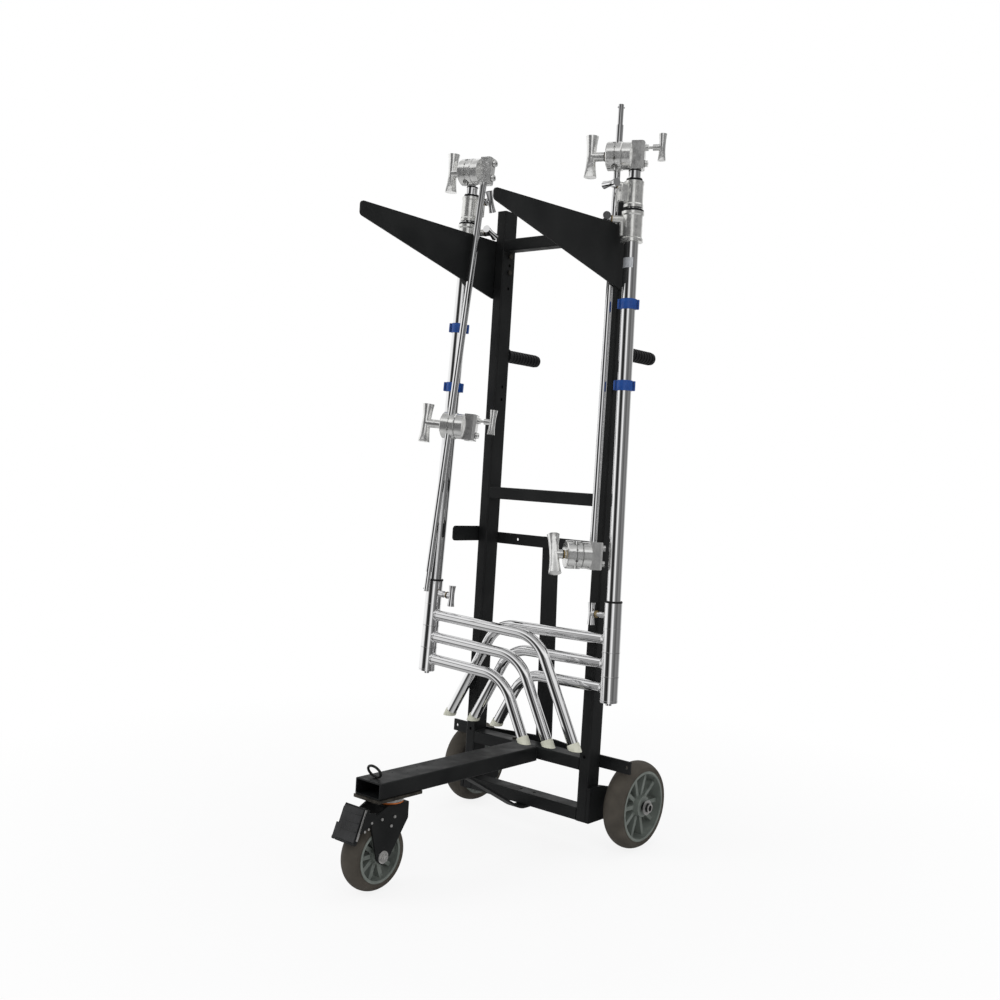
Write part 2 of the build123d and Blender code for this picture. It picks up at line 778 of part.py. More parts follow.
def head_handle(bar_out):
    """Clamping bolt with its brass collar and cross handle at a distance from the socket."""
    collar_start = -groove_out - outer_jaw
    hub_start = collar_start - collar_washer
    with BuildPart() as handle:
        with BuildSketch(Plane.YZ.offset(-bar_out)):
            Circle(jaw_bolt_radius)
        extrude(amount=bar_out - socket_radius - bolt_end_gap)
        with BuildSketch(Plane.YZ.offset(collar_start)):
            Circle(handle_collar_radius)
        extrude(amount=-collar_washer)
        with BuildSketch(Plane.YZ.offset(hub_start)):
            Circle(handle_hub_radius)
        with BuildSketch(Plane.YZ.offset(-bar_out)):
            Circle(handle_bar_waist)
        loft()
        add(cross_bar(-bar_out, handle_bar_length, handle_bar_radius, handle_bar_waist))
    return handle.part


def head_block():
    """Grip head's block with its socket, its socket bolt and its small cross knob."""
    boss_tip = block_far + socket_bolt_height
    with BuildPart() as bolt:
        with BuildSketch(Plane.YZ.offset(block_far)):
            with Locations((0, -socket_bolt_offset)):
                Circle(socket_bolt_radius)
                RegularPolygon(socket_bolt_radius / 2, 6, mode=Mode.SUBTRACT)
        extrude(amount=socket_bolt_height)
    with BuildPart() as knob:
        with BuildSketch(Plane.YZ.offset(block_far)):
            Circle(socket_bolt_radius)
        extrude(amount=socket_bolt_height)
        with BuildSketch(Plane.YZ.offset(boss_tip)):
            Circle(small_screw_radius)
        extrude(amount=small_bar_out)
        with BuildSketch(Plane.YZ.offset(boss_tip + small_bar_out / 3)):
            Circle(small_bar_waist)
        extrude(amount=small_bar_out / 2)
        add(cross_bar(boss_tip + small_bar_out, small_bar_length, small_bar_radius, small_bar_waist))
    knob_part = Location((0, 0, socket_bolt_offset)) * knob.part
    return Compound(children=[head_body(True).solid(), bolt.part.solid(), knob_part.solid()])


def arm():
    """Grip arm: a rod along Z fixed in a head's block, with a pinned tip at its far end."""
    rod_end = arm_length - head_height / 2
    with BuildPart() as rod:
        add(head_body(False))
        with BuildSketch(Plane.XY.offset(-head_height / 2)):
            Circle(rod_radius)
        extrude(amount=arm_length - tip_length)
        with BuildSketch(Plane.XY.offset(rod_end - tip_length)):
            Circle(tip_radius)
        extrude(amount=tip_length)
        with Locations((0, 0, rod_end - 3 * tip_pin_radius)):
            Cylinder(tip_pin_radius, tip_pin_length, rotation=(0, 90, 0))
        with BuildSketch(Plane.YZ.offset(block_far)):
            with Locations((0, -socket_bolt_offset), (0, socket_bolt_offset)):
                Circle(socket_bolt_radius)
                RegularPolygon(socket_bolt_radius / 2, 6, mode=Mode.SUBTRACT)
        extrude(amount=socket_bolt_height)
    return rod.part


def stand_place(stand):
    """Plane of a stand hung with its lower knob's boss just over the plate's top edge."""
    legs = -stand.side
    axis = Vector(legs * tan(radians(stand.side_tilt)), -tan(radians(stand.back_tilt)), 1).normalized()
    ahead = Vector(legs, 0, 0)
    x_dir = (ahead - axis * ahead.dot(axis)).normalized()
    y_dir = axis.cross(x_dir)
    angle = radians(stand.lower_angle)
    out = x_dir * cos(angle) + y_dir * sin(angle)
    flange_level = collar_top - flange_height / 2
    flange_x = stand.side * (plate_out + stand.plate_gap + flange_radius)
    crossing = (abs(flange_x) - plate_out + plate_thickness) / abs(out.X)
    boss_level = plate_top + boss_radius + rest_gap
    base_z = boss_level - axis.Z * lower_knob_height - out.Z * crossing
    base_x = flange_x - axis.X * flange_level
    base_y = stand.hang_y - axis.Y * flange_level
    return Plane(origin=(base_x, base_y, base_z), x_dir=x_dir, z_dir=axis)


pin_foot = upper_collar_top + seal_height + pin_base_height + pin_ring_height
head_level = pin_foot + head_seat + head_height / 2
riser_bore = riser_radius + slide_fit
top_riser_bore = top_riser_radius + slide_fit

places = {}
for label, stand in stands.items():
    place = stand_place(stand)
    places[f"stand_{label}"] = place
    here = place.location

    with BuildPart() as base_sleeve:
        with BuildSketch(Plane.XY.offset(leg_heights["top"] - leg_pitch / 2 + hub_step / 2)):
            Circle(sleeve_radius)
        extrude(amount=sleeve_top - leg_heights["top"] + leg_pitch / 2 - hub_step / 2)
        with BuildSketch(boss_plane(0, base_knob_height)):
            Circle(boss_radius)
        extrude(amount=base_boss_end)
        with BuildSketch(Plane.XY):
            Circle(column_radius)
        extrude(amount=sleeve_top, mode=Mode.SUBTRACT)
        with BuildSketch(boss_plane(0, base_knob_height)):
            Circle(screw_radius + screw_fit)
        extrude(amount=2 * base_boss_end, mode=Mode.SUBTRACT)
    keep(f"base_sleeve_{label}", base_sleeve.part, here)
    for level in leg_heights:
        keep(f"leg_{level}_{label}", leg(level, stand.foot_step), here)

    tube_bore = column_radius - column_wall
    with BuildPart() as column:
        add(ring([
            (tube_bore, 0), (column_radius, 0), (column_radius, lower_collar_base),
            (flange_radius, lower_collar_base), (flange_radius, lower_collar_base + flange_height),
            (lower_collar_radius, lower_collar_base + 1.5 * flange_height),
            (lower_collar_radius, collar_top - 1.5 * flange_height),
            (flange_radius, collar_top - flange_height), (flange_radius, collar_top),
            (riser_bore, collar_top), (riser_bore, collar_top - collar_height / 2),
            (tube_bore, collar_top - collar_height / 2),
        ]))
        with BuildSketch(Plane.XY.offset(-hub_step - stud_length)):
            Circle(stud_radius)
        extrude(amount=stud_length)
        with BuildSketch(Plane.XY.offset(-hub_step)):
            Circle(sleeve_radius)
        extrude(amount=-stud_length / 3)
        with BuildSketch(Plane.XY.offset(-hub_step)):
            Circle(column_radius)
        extrude(amount=hub_step + stud_length / 2)
        with BuildSketch(boss_plane(stand.lower_angle, lower_knob_height).offset(lower_collar_radius - 4)):
            Circle(boss_radius)
        extrude(amount=boss_end - lower_collar_radius + 4)
        with BuildSketch(boss_plane(stand.lower_angle, lower_knob_height)):
            Circle(screw_radius + screw_fit)
        extrude(amount=2 * boss_end, mode=Mode.SUBTRACT)
    keep(f"column_{label}", column.part, here)

    with BuildPart() as riser_middle:
        middle_bore = riser_radius - riser_wall
        add(ring([
            (middle_bore, sleeve_top / 2), (riser_radius, sleeve_top / 2), (riser_radius, upper_collar_base),
            (upper_collar_radius, upper_collar_base),
            (upper_collar_radius, upper_collar_base + flange_height),
            (upper_collar_radius - 1, upper_collar_base + 1.5 * flange_height),
            (upper_collar_radius - 1, upper_collar_top - 1.5 * flange_height),
            (upper_collar_radius, upper_collar_top - flange_height), (upper_collar_radius, upper_collar_top),
            (top_riser_bore, upper_collar_top), (top_riser_bore, upper_collar_top - upper_collar_height / 2),
            (middle_bore, upper_collar_top - upper_collar_height / 2),
        ]))
        with BuildSketch(boss_plane(stand.upper_angle, upper_knob_height).offset(upper_collar_radius - 4)):
            Circle(boss_radius)
        extrude(amount=boss_end - upper_collar_radius + 4)
        with BuildSketch(boss_plane(stand.upper_angle, upper_knob_height)):
            Circle(screw_radius + screw_fit)
        extrude(amount=2 * boss_end, mode=Mode.SUBTRACT)
    keep(f"riser_middle_{label}", riser_middle.part, here)

    pin_base = upper_collar_top + seal_height
    top_tube = ring([
        (top_riser_radius - riser_wall, sleeve_top), (top_riser_radius, sleeve_top),
        (top_riser_radius, pin_base), (pin_base_radius, pin_base), (pin_base_radius, pin_base + pin_base_height),
        (pin_radius, pin_base + pin_base_height), (pin_radius, pin_foot + pin_length - 2),
        (pin_radius - 2, pin_foot + pin_length), (0, pin_foot + pin_length), (0, pin_base),
        (top_riser_radius - riser_wall, pin_base),
    ])
    seal = ring([(top_riser_radius, upper_collar_top + rest_gap), (seal_radius, upper_collar_top + rest_gap),
                 (seal_radius, pin_base), (top_riser_radius, pin_base)])
    pad_ring = ring([(pin_radius, pin_foot - pin_ring_height), (pin_base_radius, pin_foot - pin_ring_height),
                     (pin_base_radius, pin_foot), (pin_radius, pin_foot)])
    keep(f"riser_top_{label}", Compound(children=[top_tube.solid(), seal.solid(), pad_ring.solid()]), here)

    knobs = (
        ("lower", riser_radius + rest_gap, boss_end, stand.lower_angle, lower_knob_height, stand.lower_roll),
        ("upper", top_riser_radius + rest_gap, boss_end, stand.upper_angle, upper_knob_height, stand.upper_roll),
        ("base", column_radius + rest_gap, base_boss_end + 2 * screw_radius, 0, base_knob_height, 0),
    )
    for which, screw_start, washer_start, angle, height, roll in knobs:
        spot = knob_place(angle, height, roll)
        places[f"knob_{which}_{label}"] = here * spot
        keep(f"knob_{which}_{label}", cross_knob(screw_start, washer_start + rest_gap), here * spot)

    bands = [ring([(column_radius, sleeve_top), (column_radius + 4, sleeve_top),
                   (column_radius + 4, sleeve_top + band_height - 1), (column_radius, sleeve_top + band_height - 1)]),
             ring([(riser_radius + 1, collar_top), (flange_radius - 1, collar_top),
                   (flange_radius - 1, collar_top + band_height), (riser_radius + 1, collar_top + band_height)])]
    for middle in stand.clips:
        low, high = middle - clip_height / 2, middle + clip_height / 2
        bands.append(ring([(column_radius, low), (column_radius + clip_wall, low),
                           (column_radius + clip_wall, high), (column_radius, high)]))
    keep(f"column_bands_{label}", Compound(children=[band.solid() for band in bands]), here)


# ---------------------------------------------------------------- heads and arms
def head_plane(centre, axis, turn):
    """Plane of a head: Z along its socket, X along its bolt at an angle about it from the cart's X."""
    plan = Vector(cos(radians(turn)), sin(radians(turn)), 0)
    return Plane(origin=centre, x_dir=(plan - axis * plan.dot(axis)).normalized(), z_dir=axis)


def groove_spot(head, side):
    """Middle of the groove on one side of a head's bolt, on the cart."""
    return head.from_local_coords((-groove_out, side * groove_side, 0))


# Left: the arm's own jaws close on the stand's pin, and its rod hangs down inside the plate.
pin = places["stand_left"].from_local_coords((0, 0, head_level))
grip = head_plane(pin, places["stand_left"].z_dir, left_arm_turn)
grip = Plane(origin=pin + (pin - groove_spot(grip, 1)), x_dir=grip.x_dir, z_dir=grip.z_dir)
rod_up = grip.z_dir * cos(radians(left_arm_swing)) + grip.y_dir * sin(radians(left_arm_swing))
hung_arm = Plane(origin=grip.origin, x_dir=grip.x_dir, z_dir=-rod_up)
loose = head_plane(grip.origin - rod_up * left_head_level, rod_up, left_head_turn)
loose = Plane(origin=loose.origin + (loose.origin - groove_spot(loose, -1)), x_dir=loose.x_dir, z_dir=loose.z_dir)
places.update(arm_jaws_left=grip, arm_left=hung_arm, head_left=loose)
keep("arm_left", arm(), hung_arm.location)
keep("arm_jaws_left", jaws(), grip.location)
keep("arm_handle_left", head_handle(handle_bar_out["left_arm"]), grip.location)
keep("head_block_left", head_block(), loose.location)
keep("head_jaws_left", jaws(), loose.location)
keep("head_handle_left", head_handle(handle_bar_out["left_head"]), loose.location)

# Right: the stand's head sits on its pin, and its jaws hold the arm's rod inside the plate.
stand_axis = places["stand_right"].z_dir
pin = places["stand_right"].from_local_coords((0, 0, head_level))
head = head_plane(pin, stand_axis.rotate(Axis.Y, right_head_tilt), right_head_turn)
rod_up = head.z_dir * cos(radians(right_arm_swing)) + head.y_dir * sin(radians(right_arm_swing))
clamp = Plane(origin=head.origin, x_dir=head.x_dir, z_dir=rod_up)
standing_arm = head_plane(groove_spot(clamp, 1) - rod_up * right_arm_level, rod_up, right_arm_turn)
roll = radians(right_arm_handle_roll)
rolled = Plane(origin=standing_arm.origin, x_dir=standing_arm.x_dir,
               z_dir=standing_arm.z_dir * cos(roll) + standing_arm.y_dir * sin(roll))
places.update(head_right=head, head_jaws_right=clamp, arm_right=standing_arm)
keep("head_block_right", head_block(), head.location)
keep("head_jaws_right", jaws(), clamp.location)
keep("head_handle_right", head_handle(handle_bar_out["right_head"]), clamp.location)
keep("arm_right", arm(), standing_arm.location)
keep("arm_jaws_right", jaws(), standing_arm.location)
keep("arm_handle_right", head_handle(handle_bar_out["right_arm"]), rolled.location)

# ---------------------------------------------------------------- lean and origin
base_run = axle_y - wheel_y
base_drop = axle_z - caster_axle_z
lean = degrees(asin((wheel_radius - caster_radius) / hypot(base_run, base_drop)) - atan2(base_drop, base_run))
leaning = Location((0, 0, 0), (lean, 0, 0))
boxes = [(leaning * part).bounding_box() for part in pieces.values()]
middle_x = (min(b.min.X for b in boxes) + max(b.max.X for b in boxes)) / 2
middle_y = (min(b.min.Y for b in boxes) + max(b.max.Y for b in boxes)) / 2
floor_z = min(b.min.Z for b in boxes)
standing = Location((-middle_x, -middle_y, -floor_z)) * leaning
for name, part in pieces.items():
    piece = standing * part
    piece.label = name
    export_step(piece, f"parts/{name}.step")
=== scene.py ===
"""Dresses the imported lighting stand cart: finishes, small fittings, floor, light and camera.

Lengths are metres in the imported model's frame. Places come from the model's boxes and joints.
"""
import json
import logging
import math
from dataclasses import dataclass, field
from enum import Enum

import bmesh
import bpy
from mathutils import Matrix, Vector


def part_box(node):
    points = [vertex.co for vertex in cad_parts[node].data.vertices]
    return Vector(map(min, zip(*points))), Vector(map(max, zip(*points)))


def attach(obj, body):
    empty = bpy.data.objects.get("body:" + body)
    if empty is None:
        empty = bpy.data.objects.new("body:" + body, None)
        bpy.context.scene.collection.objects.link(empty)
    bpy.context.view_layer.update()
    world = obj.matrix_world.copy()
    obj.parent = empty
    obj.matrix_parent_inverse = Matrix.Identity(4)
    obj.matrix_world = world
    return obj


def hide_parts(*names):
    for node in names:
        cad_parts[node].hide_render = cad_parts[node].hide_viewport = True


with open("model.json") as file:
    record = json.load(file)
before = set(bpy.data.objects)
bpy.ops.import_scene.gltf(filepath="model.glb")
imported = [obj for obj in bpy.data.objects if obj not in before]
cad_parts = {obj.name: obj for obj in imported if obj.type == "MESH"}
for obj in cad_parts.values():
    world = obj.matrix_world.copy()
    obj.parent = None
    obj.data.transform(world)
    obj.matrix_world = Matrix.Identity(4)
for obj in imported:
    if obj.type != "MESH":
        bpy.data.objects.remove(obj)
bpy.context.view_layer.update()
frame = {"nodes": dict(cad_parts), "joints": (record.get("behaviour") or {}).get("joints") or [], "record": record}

log = logging.getLogger("lighting_stand_cart")
Colour = tuple[float, float, float]
Socket = bpy.types.NodeSocket
JOINTS: dict[str, dict] = {joint["name"]: joint for joint in frame["joints"]}
MOUNTS: dict[str, dict] = {mount["name"]: mount for mount in frame["record"]["mounts"]}
MM = 0.001


class Side(Enum):
    """The two sides of the cart, with the sign of X on each."""

    LEFT = ("left", -1)
    RIGHT = ("right", 1)

    @property
    def word(self) -> str:
        """The side's word in the names of nodes and bodies."""
        return self.value[0]

    @property
    def sign(self) -> int:
        """The sign of X on this side."""
        return self.value[1]


# ------------------------------------------------------------------ finishes
class Graph:
    """A small builder for one material's nodes."""

    def __init__(self, name: str) -> None:
        """Starts an empty material with a Principled shader.

        Args:
            name: the material's name.
        """
        self.material = bpy.data.materials.new(name)
        self.material.use_nodes = True
        self.tree = self.material.node_tree
        self.shader = self.tree.nodes["Principled BSDF"]
        place = self.tree.nodes.new("ShaderNodeTexCoord")
        self.place = place.outputs["Object"]

    @classmethod
    def over(cls, material: bpy.types.Material) -> "Graph":
        """Opens a material that already has its shader.

        Args:
            material: the material.

        Returns:
            The builder for it.
        """
        graph = cls.__new__(cls)
        graph.material = material
        graph.tree = material.node_tree
        graph.shader = graph.tree.nodes["Principled BSDF"]
        graph.place = graph.tree.nodes["Texture Coordinate"].outputs["Object"]
        return graph

    def math(self, operation: str, first: Socket, second: Socket | float = 0.0) -> Socket:
        """Adds one sum.

        Args:
            operation: its kind.
            first: the first socket.
            second: a socket or a number.

        Returns:
            The result's socket.
        """
        node = self.tree.nodes.new("ShaderNodeMath")
        node.operation = operation
        self.link(first, node.inputs[0])
        if isinstance(second, float):
            node.inputs[1].default_value = second
        else:
            self.link(second, node.inputs[1])
        return node.outputs["Value"]

    def dot(self, axis: Vector) -> Socket:
        """Adds the model's place measured along an axis.

        Args:
            axis: the unit axis.

        Returns:
            The distance's socket.
        """
        node = self.tree.nodes.new("ShaderNodeVectorMath")
        node.operation = "DOT_PRODUCT"
        self.link(self.place, node.inputs[0])
        node.inputs[1].default_value = axis
        return node.outputs["Value"]

    def link(self, start: Socket, end: Socket) -> None:
        """Joins an output socket to an input socket."""
        self.tree.links.new(start, end)

    def noise(self, scale: float, detail: float = 3.0, stretch: tuple[float, float, float] = (1, 1, 1)) -> Socket:
        """Adds a noise texture.

        Args:
            scale: noise cells in a metre.
            detail: number of octaves.
            stretch: scale along each axis, for grain that runs one way.

        Returns:
            The noise's value socket.
        """
        mapping = self.tree.nodes.new("ShaderNodeMapping")
        mapping.inputs["Scale"].default_value = stretch
        self.link(self.place, mapping.inputs["Vector"])
        noise = self.tree.nodes.new("ShaderNodeTexNoise")
        noise.inputs["Scale"].default_value = scale
        noise.inputs["Detail"].default_value = detail
        self.link(mapping.outputs["Vector"], noise.inputs["Vector"])
        return noise.outputs["Fac"]

    def ramp(self, value: Socket, stops: list[tuple[float, Colour]]) -> Socket:
        """Adds a colour ramp over a value.

        Args:
            value: the socket that drives it.
            stops: places and colours along the ramp.

        Returns:
            The ramp's colour socket.
        """
        node = self.tree.nodes.new("ShaderNodeValToRGB")
        elements = node.color_ramp.elements
        while len(elements) < len(stops):
            elements.new(0.5)
        for element, (place, colour) in zip(elements, stops):
            element.position = place
            element.color = (*colour, 1)
        self.link(value, node.inputs["Fac"])
        return node.outputs["Color"]

    def span(self, value: Socket, low: float, high: float, start: float = 0.3, end: float = 0.7) -> Socket:
        """Maps a value from start..end to low..high.

        Args:
            value: the socket that gives the value.
            low: the result at start.
            high: the result at end.
            start: where the value's range starts.
            end: where it ends.

        Returns:
            The mapped value's socket.
        """
        node = self.tree.nodes.new("ShaderNodeMapRange")
        for name, number in (("From Min", start), ("From Max", end), ("To Min", low), ("To Max", high)):
            node.inputs[name].default_value = number
        self.link(value, node.inputs["Value"])
        return node.outputs["Result"]

    def bump(self, value: Socket, height: float, strength: float = 1.0) -> None:
        """Raises the surface by a value.

        Args:
            value: the socket that gives the height.
            height: the full height in metres.
            strength: how much of it shows.
        """
        node = self.tree.nodes.new("ShaderNodeBump")
        node.inputs["Distance"].default_value = height
        node.inputs["Strength"].default_value = strength
        self.link(value, node.inputs["Height"])
        self.link(node.outputs["Normal"], self.shader.inputs["Normal"])


# Every finish that is made already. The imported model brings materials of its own, whose names may be the same.
READY: dict[str, bpy.types.Material] = {}


@dataclass(frozen=True)
class Finish:
    """One finish: its colours, roughness and the small texture that it carries."""

    name: str
    dark: Colour
    light: Colour
    rough: tuple[float, float]
    metallic: float = 0.0
    grain: float = 600.0
    blotch: float = 25.0
    relief: float = 0.0
    stretch: tuple[float, float, float] = (1, 1, 1)
    specular: float = 0.5

    def material(self, suffix: str = "") -> bpy.types.Material:
        """Builds the finish once.

        Args:
            suffix: added to the name, for a version of its own.

        Returns:
            Its Blender material.
        """
        name = self.name + suffix
        if name in READY:
            return READY[name]
        graph = Graph(name)
        READY[name] = graph.material
        shader = graph.shader
        shader.inputs["Metallic"].default_value = self.metallic
        shader.inputs["Specular IOR Level"].default_value = self.specular
        blotches = graph.noise(self.blotch, 4, self.stretch)
        colour = graph.ramp(blotches, [(0.3, self.dark), (0.7, self.light)])
        graph.link(colour, shader.inputs["Base Color"])
        graph.link(graph.span(graph.noise(self.blotch * 2, 5, self.stretch), *self.rough), shader.inputs["Roughness"])
        if self.relief:
            graph.bump(graph.noise(self.grain, 3, self.stretch), self.relief, 0.6)
        return graph.material


def collared(word: str, base: Finish, band: Finish, place: "Place", low: float, high: float) -> bpy.types.Material:
    """Makes a finish that turns into another one between two heights of a stand.

    Args:
        word: added to the material's name.
        base: the finish outside the band.
        band: the finish inside it.
        place: the stand's own axes.
        low: where the band starts, in millimetres.
        high: where it ends.

    Returns:
        The material.
    """
    material = base.material(word)
    graph = Graph.over(material)
    height = graph.math("ADD", graph.dot(place.z), -place.z.dot(place.origin) - (low + high) / 2 * MM)
    inside = graph.math("LESS_THAN", graph.math("ABSOLUTE", height), (high - low) / 2 * MM)
    blotches = graph.noise(band.blotch, 4)
    shader = graph.shader
    for name, plain, other in (
            ("Base Color", shader.inputs["Base Color"].links[0].from_socket,
             graph.ramp(blotches, [(0.3, band.dark), (0.7, band.light)])),
            ("Roughness", shader.inputs["Roughness"].links[0].from_socket,
             graph.span(graph.noise(band.blotch * 2, 5), *band.rough))):
        mix = graph.tree.nodes.new("ShaderNodeMix")
        mix.data_type = "RGBA" if name == "Base Color" else "FLOAT"
        first, second, result = (6, 7, 2) if name == "Base Color" else (2, 3, 0)
        graph.link(inside, mix.inputs[0])
        graph.link(plain, mix.inputs[first])
        graph.link(other, mix.inputs[second])
        graph.link(mix.outputs[result], shader.inputs[name])
    graph.link(graph.span(inside, base.metallic, band.metallic, 0, 1), shader.inputs["Metallic"])
    graph.bump(graph.math("MULTIPLY", graph.noise(band.grain, 3), inside), band.relief, 0.6)
    return material


POWDER_BLACK = Finish("powder_black", (0.0075, 0.0082, 0.0086), (0.0160, 0.0168, 0.0168), (0.40, 0.60),
                      relief=0.00012, grain=900, blotch=14, specular=0.24)
CHROME = Finish("bright_chrome", (0.84, 0.84, 0.85), (0.90, 0.90, 0.90), (0.03, 0.09), metallic=1, blotch=30,
                stretch=(1, 1, 0.15))
CAST = Finish("polished_casting", (0.76, 0.76, 0.75), (0.96, 0.96, 0.94), (0.10, 0.22), metallic=0.82, relief=0.0010,
              grain=70, blotch=45)
ROUGH_CAST = Finish("rough_casting", (0.72, 0.72, 0.70), (0.95, 0.95, 0.92), (0.12, 0.26), metallic=0.80,
                    relief=0.0008, grain=48, blotch=60)
ZINC = Finish("zinc_plate", (0.48, 0.48, 0.47), (0.66, 0.65, 0.63), (0.25, 0.4), metallic=0.7, blotch=120)
DULL_PLATE = Finish("dull_plate", (0.030, 0.028, 0.026), (0.110, 0.098, 0.080), (0.34, 0.5), metallic=0.6,
                    relief=0.0001, blotch=70, specular=0.3)
TYRE = Finish("tyre_rubber", (0.052, 0.046, 0.037), (0.086, 0.076, 0.062), (0.6, 0.8), relief=0.0002, grain=700,
              blotch=30, specular=0.25)
WHEEL = Finish("wheel_moulding", (0.140, 0.158, 0.142), (0.205, 0.228, 0.205), (0.4, 0.55), relief=0.0001, blotch=40,
               specular=0.35)
GRIP = Finish("moulded_grip", (0.007, 0.007, 0.008), (0.014, 0.014, 0.015), (0.45, 0.65), relief=0.0002, specular=0.3)
BLACK_RUBBER = Finish("black_rubber", (0.005, 0.005, 0.006), (0.012, 0.012, 0.012), (0.4, 0.6), specular=0.25)
WORN_RUBBER = Finish("worn_rubber", (0.004, 0.004, 0.005), (0.024, 0.025, 0.026), (0.2, 0.45), relief=0.0004,
                     grain=160, blotch=48, specular=0.5, stretch=(1, 1, 0.5))
FOOT = Finish("cream_foot", (0.60, 0.60, 0.49), (0.74, 0.74, 0.62), (0.4, 0.6), blotch=60)
CLIP = Finish("blue_clip", (0.006, 0.050, 0.24), (0.012, 0.080, 0.33), (0.3, 0.42), blotch=80)
BRASS = Finish("brass", (0.34, 0.25, 0.12), (0.50, 0.38, 0.19), (0.28, 0.4), metallic=1, blotch=150)
ORANGE = Finish("orange_seal", (0.55, 0.13, 0.02), (0.72, 0.20, 0.03), (0.5, 0.6), blotch=150)
LABEL = Finish("bare_label", (0.50, 0.52, 0.54), (0.66, 0.68, 0.70), (0.3, 0.45), metallic=0.25, blotch=200)
# Near-black finish for painted shade inside small holes, the axle bores and the bolt sockets; the tongue's specks use
# it too.
PAINTED_SHADE = Finish("painted_shade_black", (0.004, 0.004, 0.004), (0.010, 0.010, 0.009), (0.6, 0.8), blotch=200, specular=0.2)

NODE_FINISHES: dict[str, Finish] = {
    "tyre": TYRE, "hub": WHEEL, "grips": GRIP, "caster_plate": DULL_PLATE, "fasteners": ZINC, "bolts": DULL_PLATE,
    "head_": CAST, "arm_jaws": CAST, "arm_handle": CAST, "leg_": CHROME, "column": CHROME, "riser": CHROME,
    "sleeve": CHROME, "knob": CHROME, "arm_": CHROME,
}


def finish_of(node: str) -> Finish:
    """The finish of a model node, from the words in its name."""
    return next((finish for word, finish in NODE_FINISHES.items() if word in node), POWDER_BLACK)


def paint(node: bpy.types.Object, material: bpy.types.Material) -> None:
    """Puts a material in every slot of a model node."""
    for slot in node.material_slots:
        slot.material = material


# ------------------------------------------------------------------ meshes
@dataclass
class Place:
    """A spot in the model's frame with its own axes."""

    origin: Vector
    x: Vector
    z: Vector

    @property
    def y(self) -> Vector:
        """The third axis."""
        return self.z.cross(self.x).normalized()

    @property
    def matrix(self) -> Matrix:
        """Takes the spot's own coordinates to the model's frame."""
        rows = Matrix((self.x, self.y, self.z)).transposed().to_4x4()
        return Matrix.Translation(self.origin) @ rows

    def moved(self, x: float = 0, y: float = 0, z: float = 0) -> "Place":
        """The same axes with the origin moved along them, in millimetres."""
        shift = (self.x * x + self.y * y + self.z * z) * MM
        return Place(self.origin + shift, self.x, self.z)

    def turned(self, degrees: float) -> "Place":
        """The same spot with X turned about Z."""
        turn = Matrix.Rotation(math.radians(degrees), 3, self.z)
        return Place(self.origin, turn @ self.x, self.z)

    def along(self, axis: Vector) -> "Place":
        """A spot at the same origin whose Z is another axis.

        Args:
            axis: the new Z.

        Returns:
            The turned spot.
        """
        guide = self.z if abs(axis.normalized().dot(self.z)) < 0.9 else self.x
        x = (guide - axis * guide.dot(axis)).normalized()
        return Place(self.origin, x, axis.normalized())


def hinge_place(name: str, flip: bool = False) -> tuple[Vector, Vector]:
    """Origin and axis of a joint of the model.

    Args:
        name: the joint's name.
        flip: turns the axis round.

    Returns:
        The joint's origin and unit axis.
    """
    joint = JOINTS[name]
    axis = Vector(joint["axis"]).normalized()
    return Vector(joint.get("pos_m", (0, 0, 0))), -axis if flip else axis


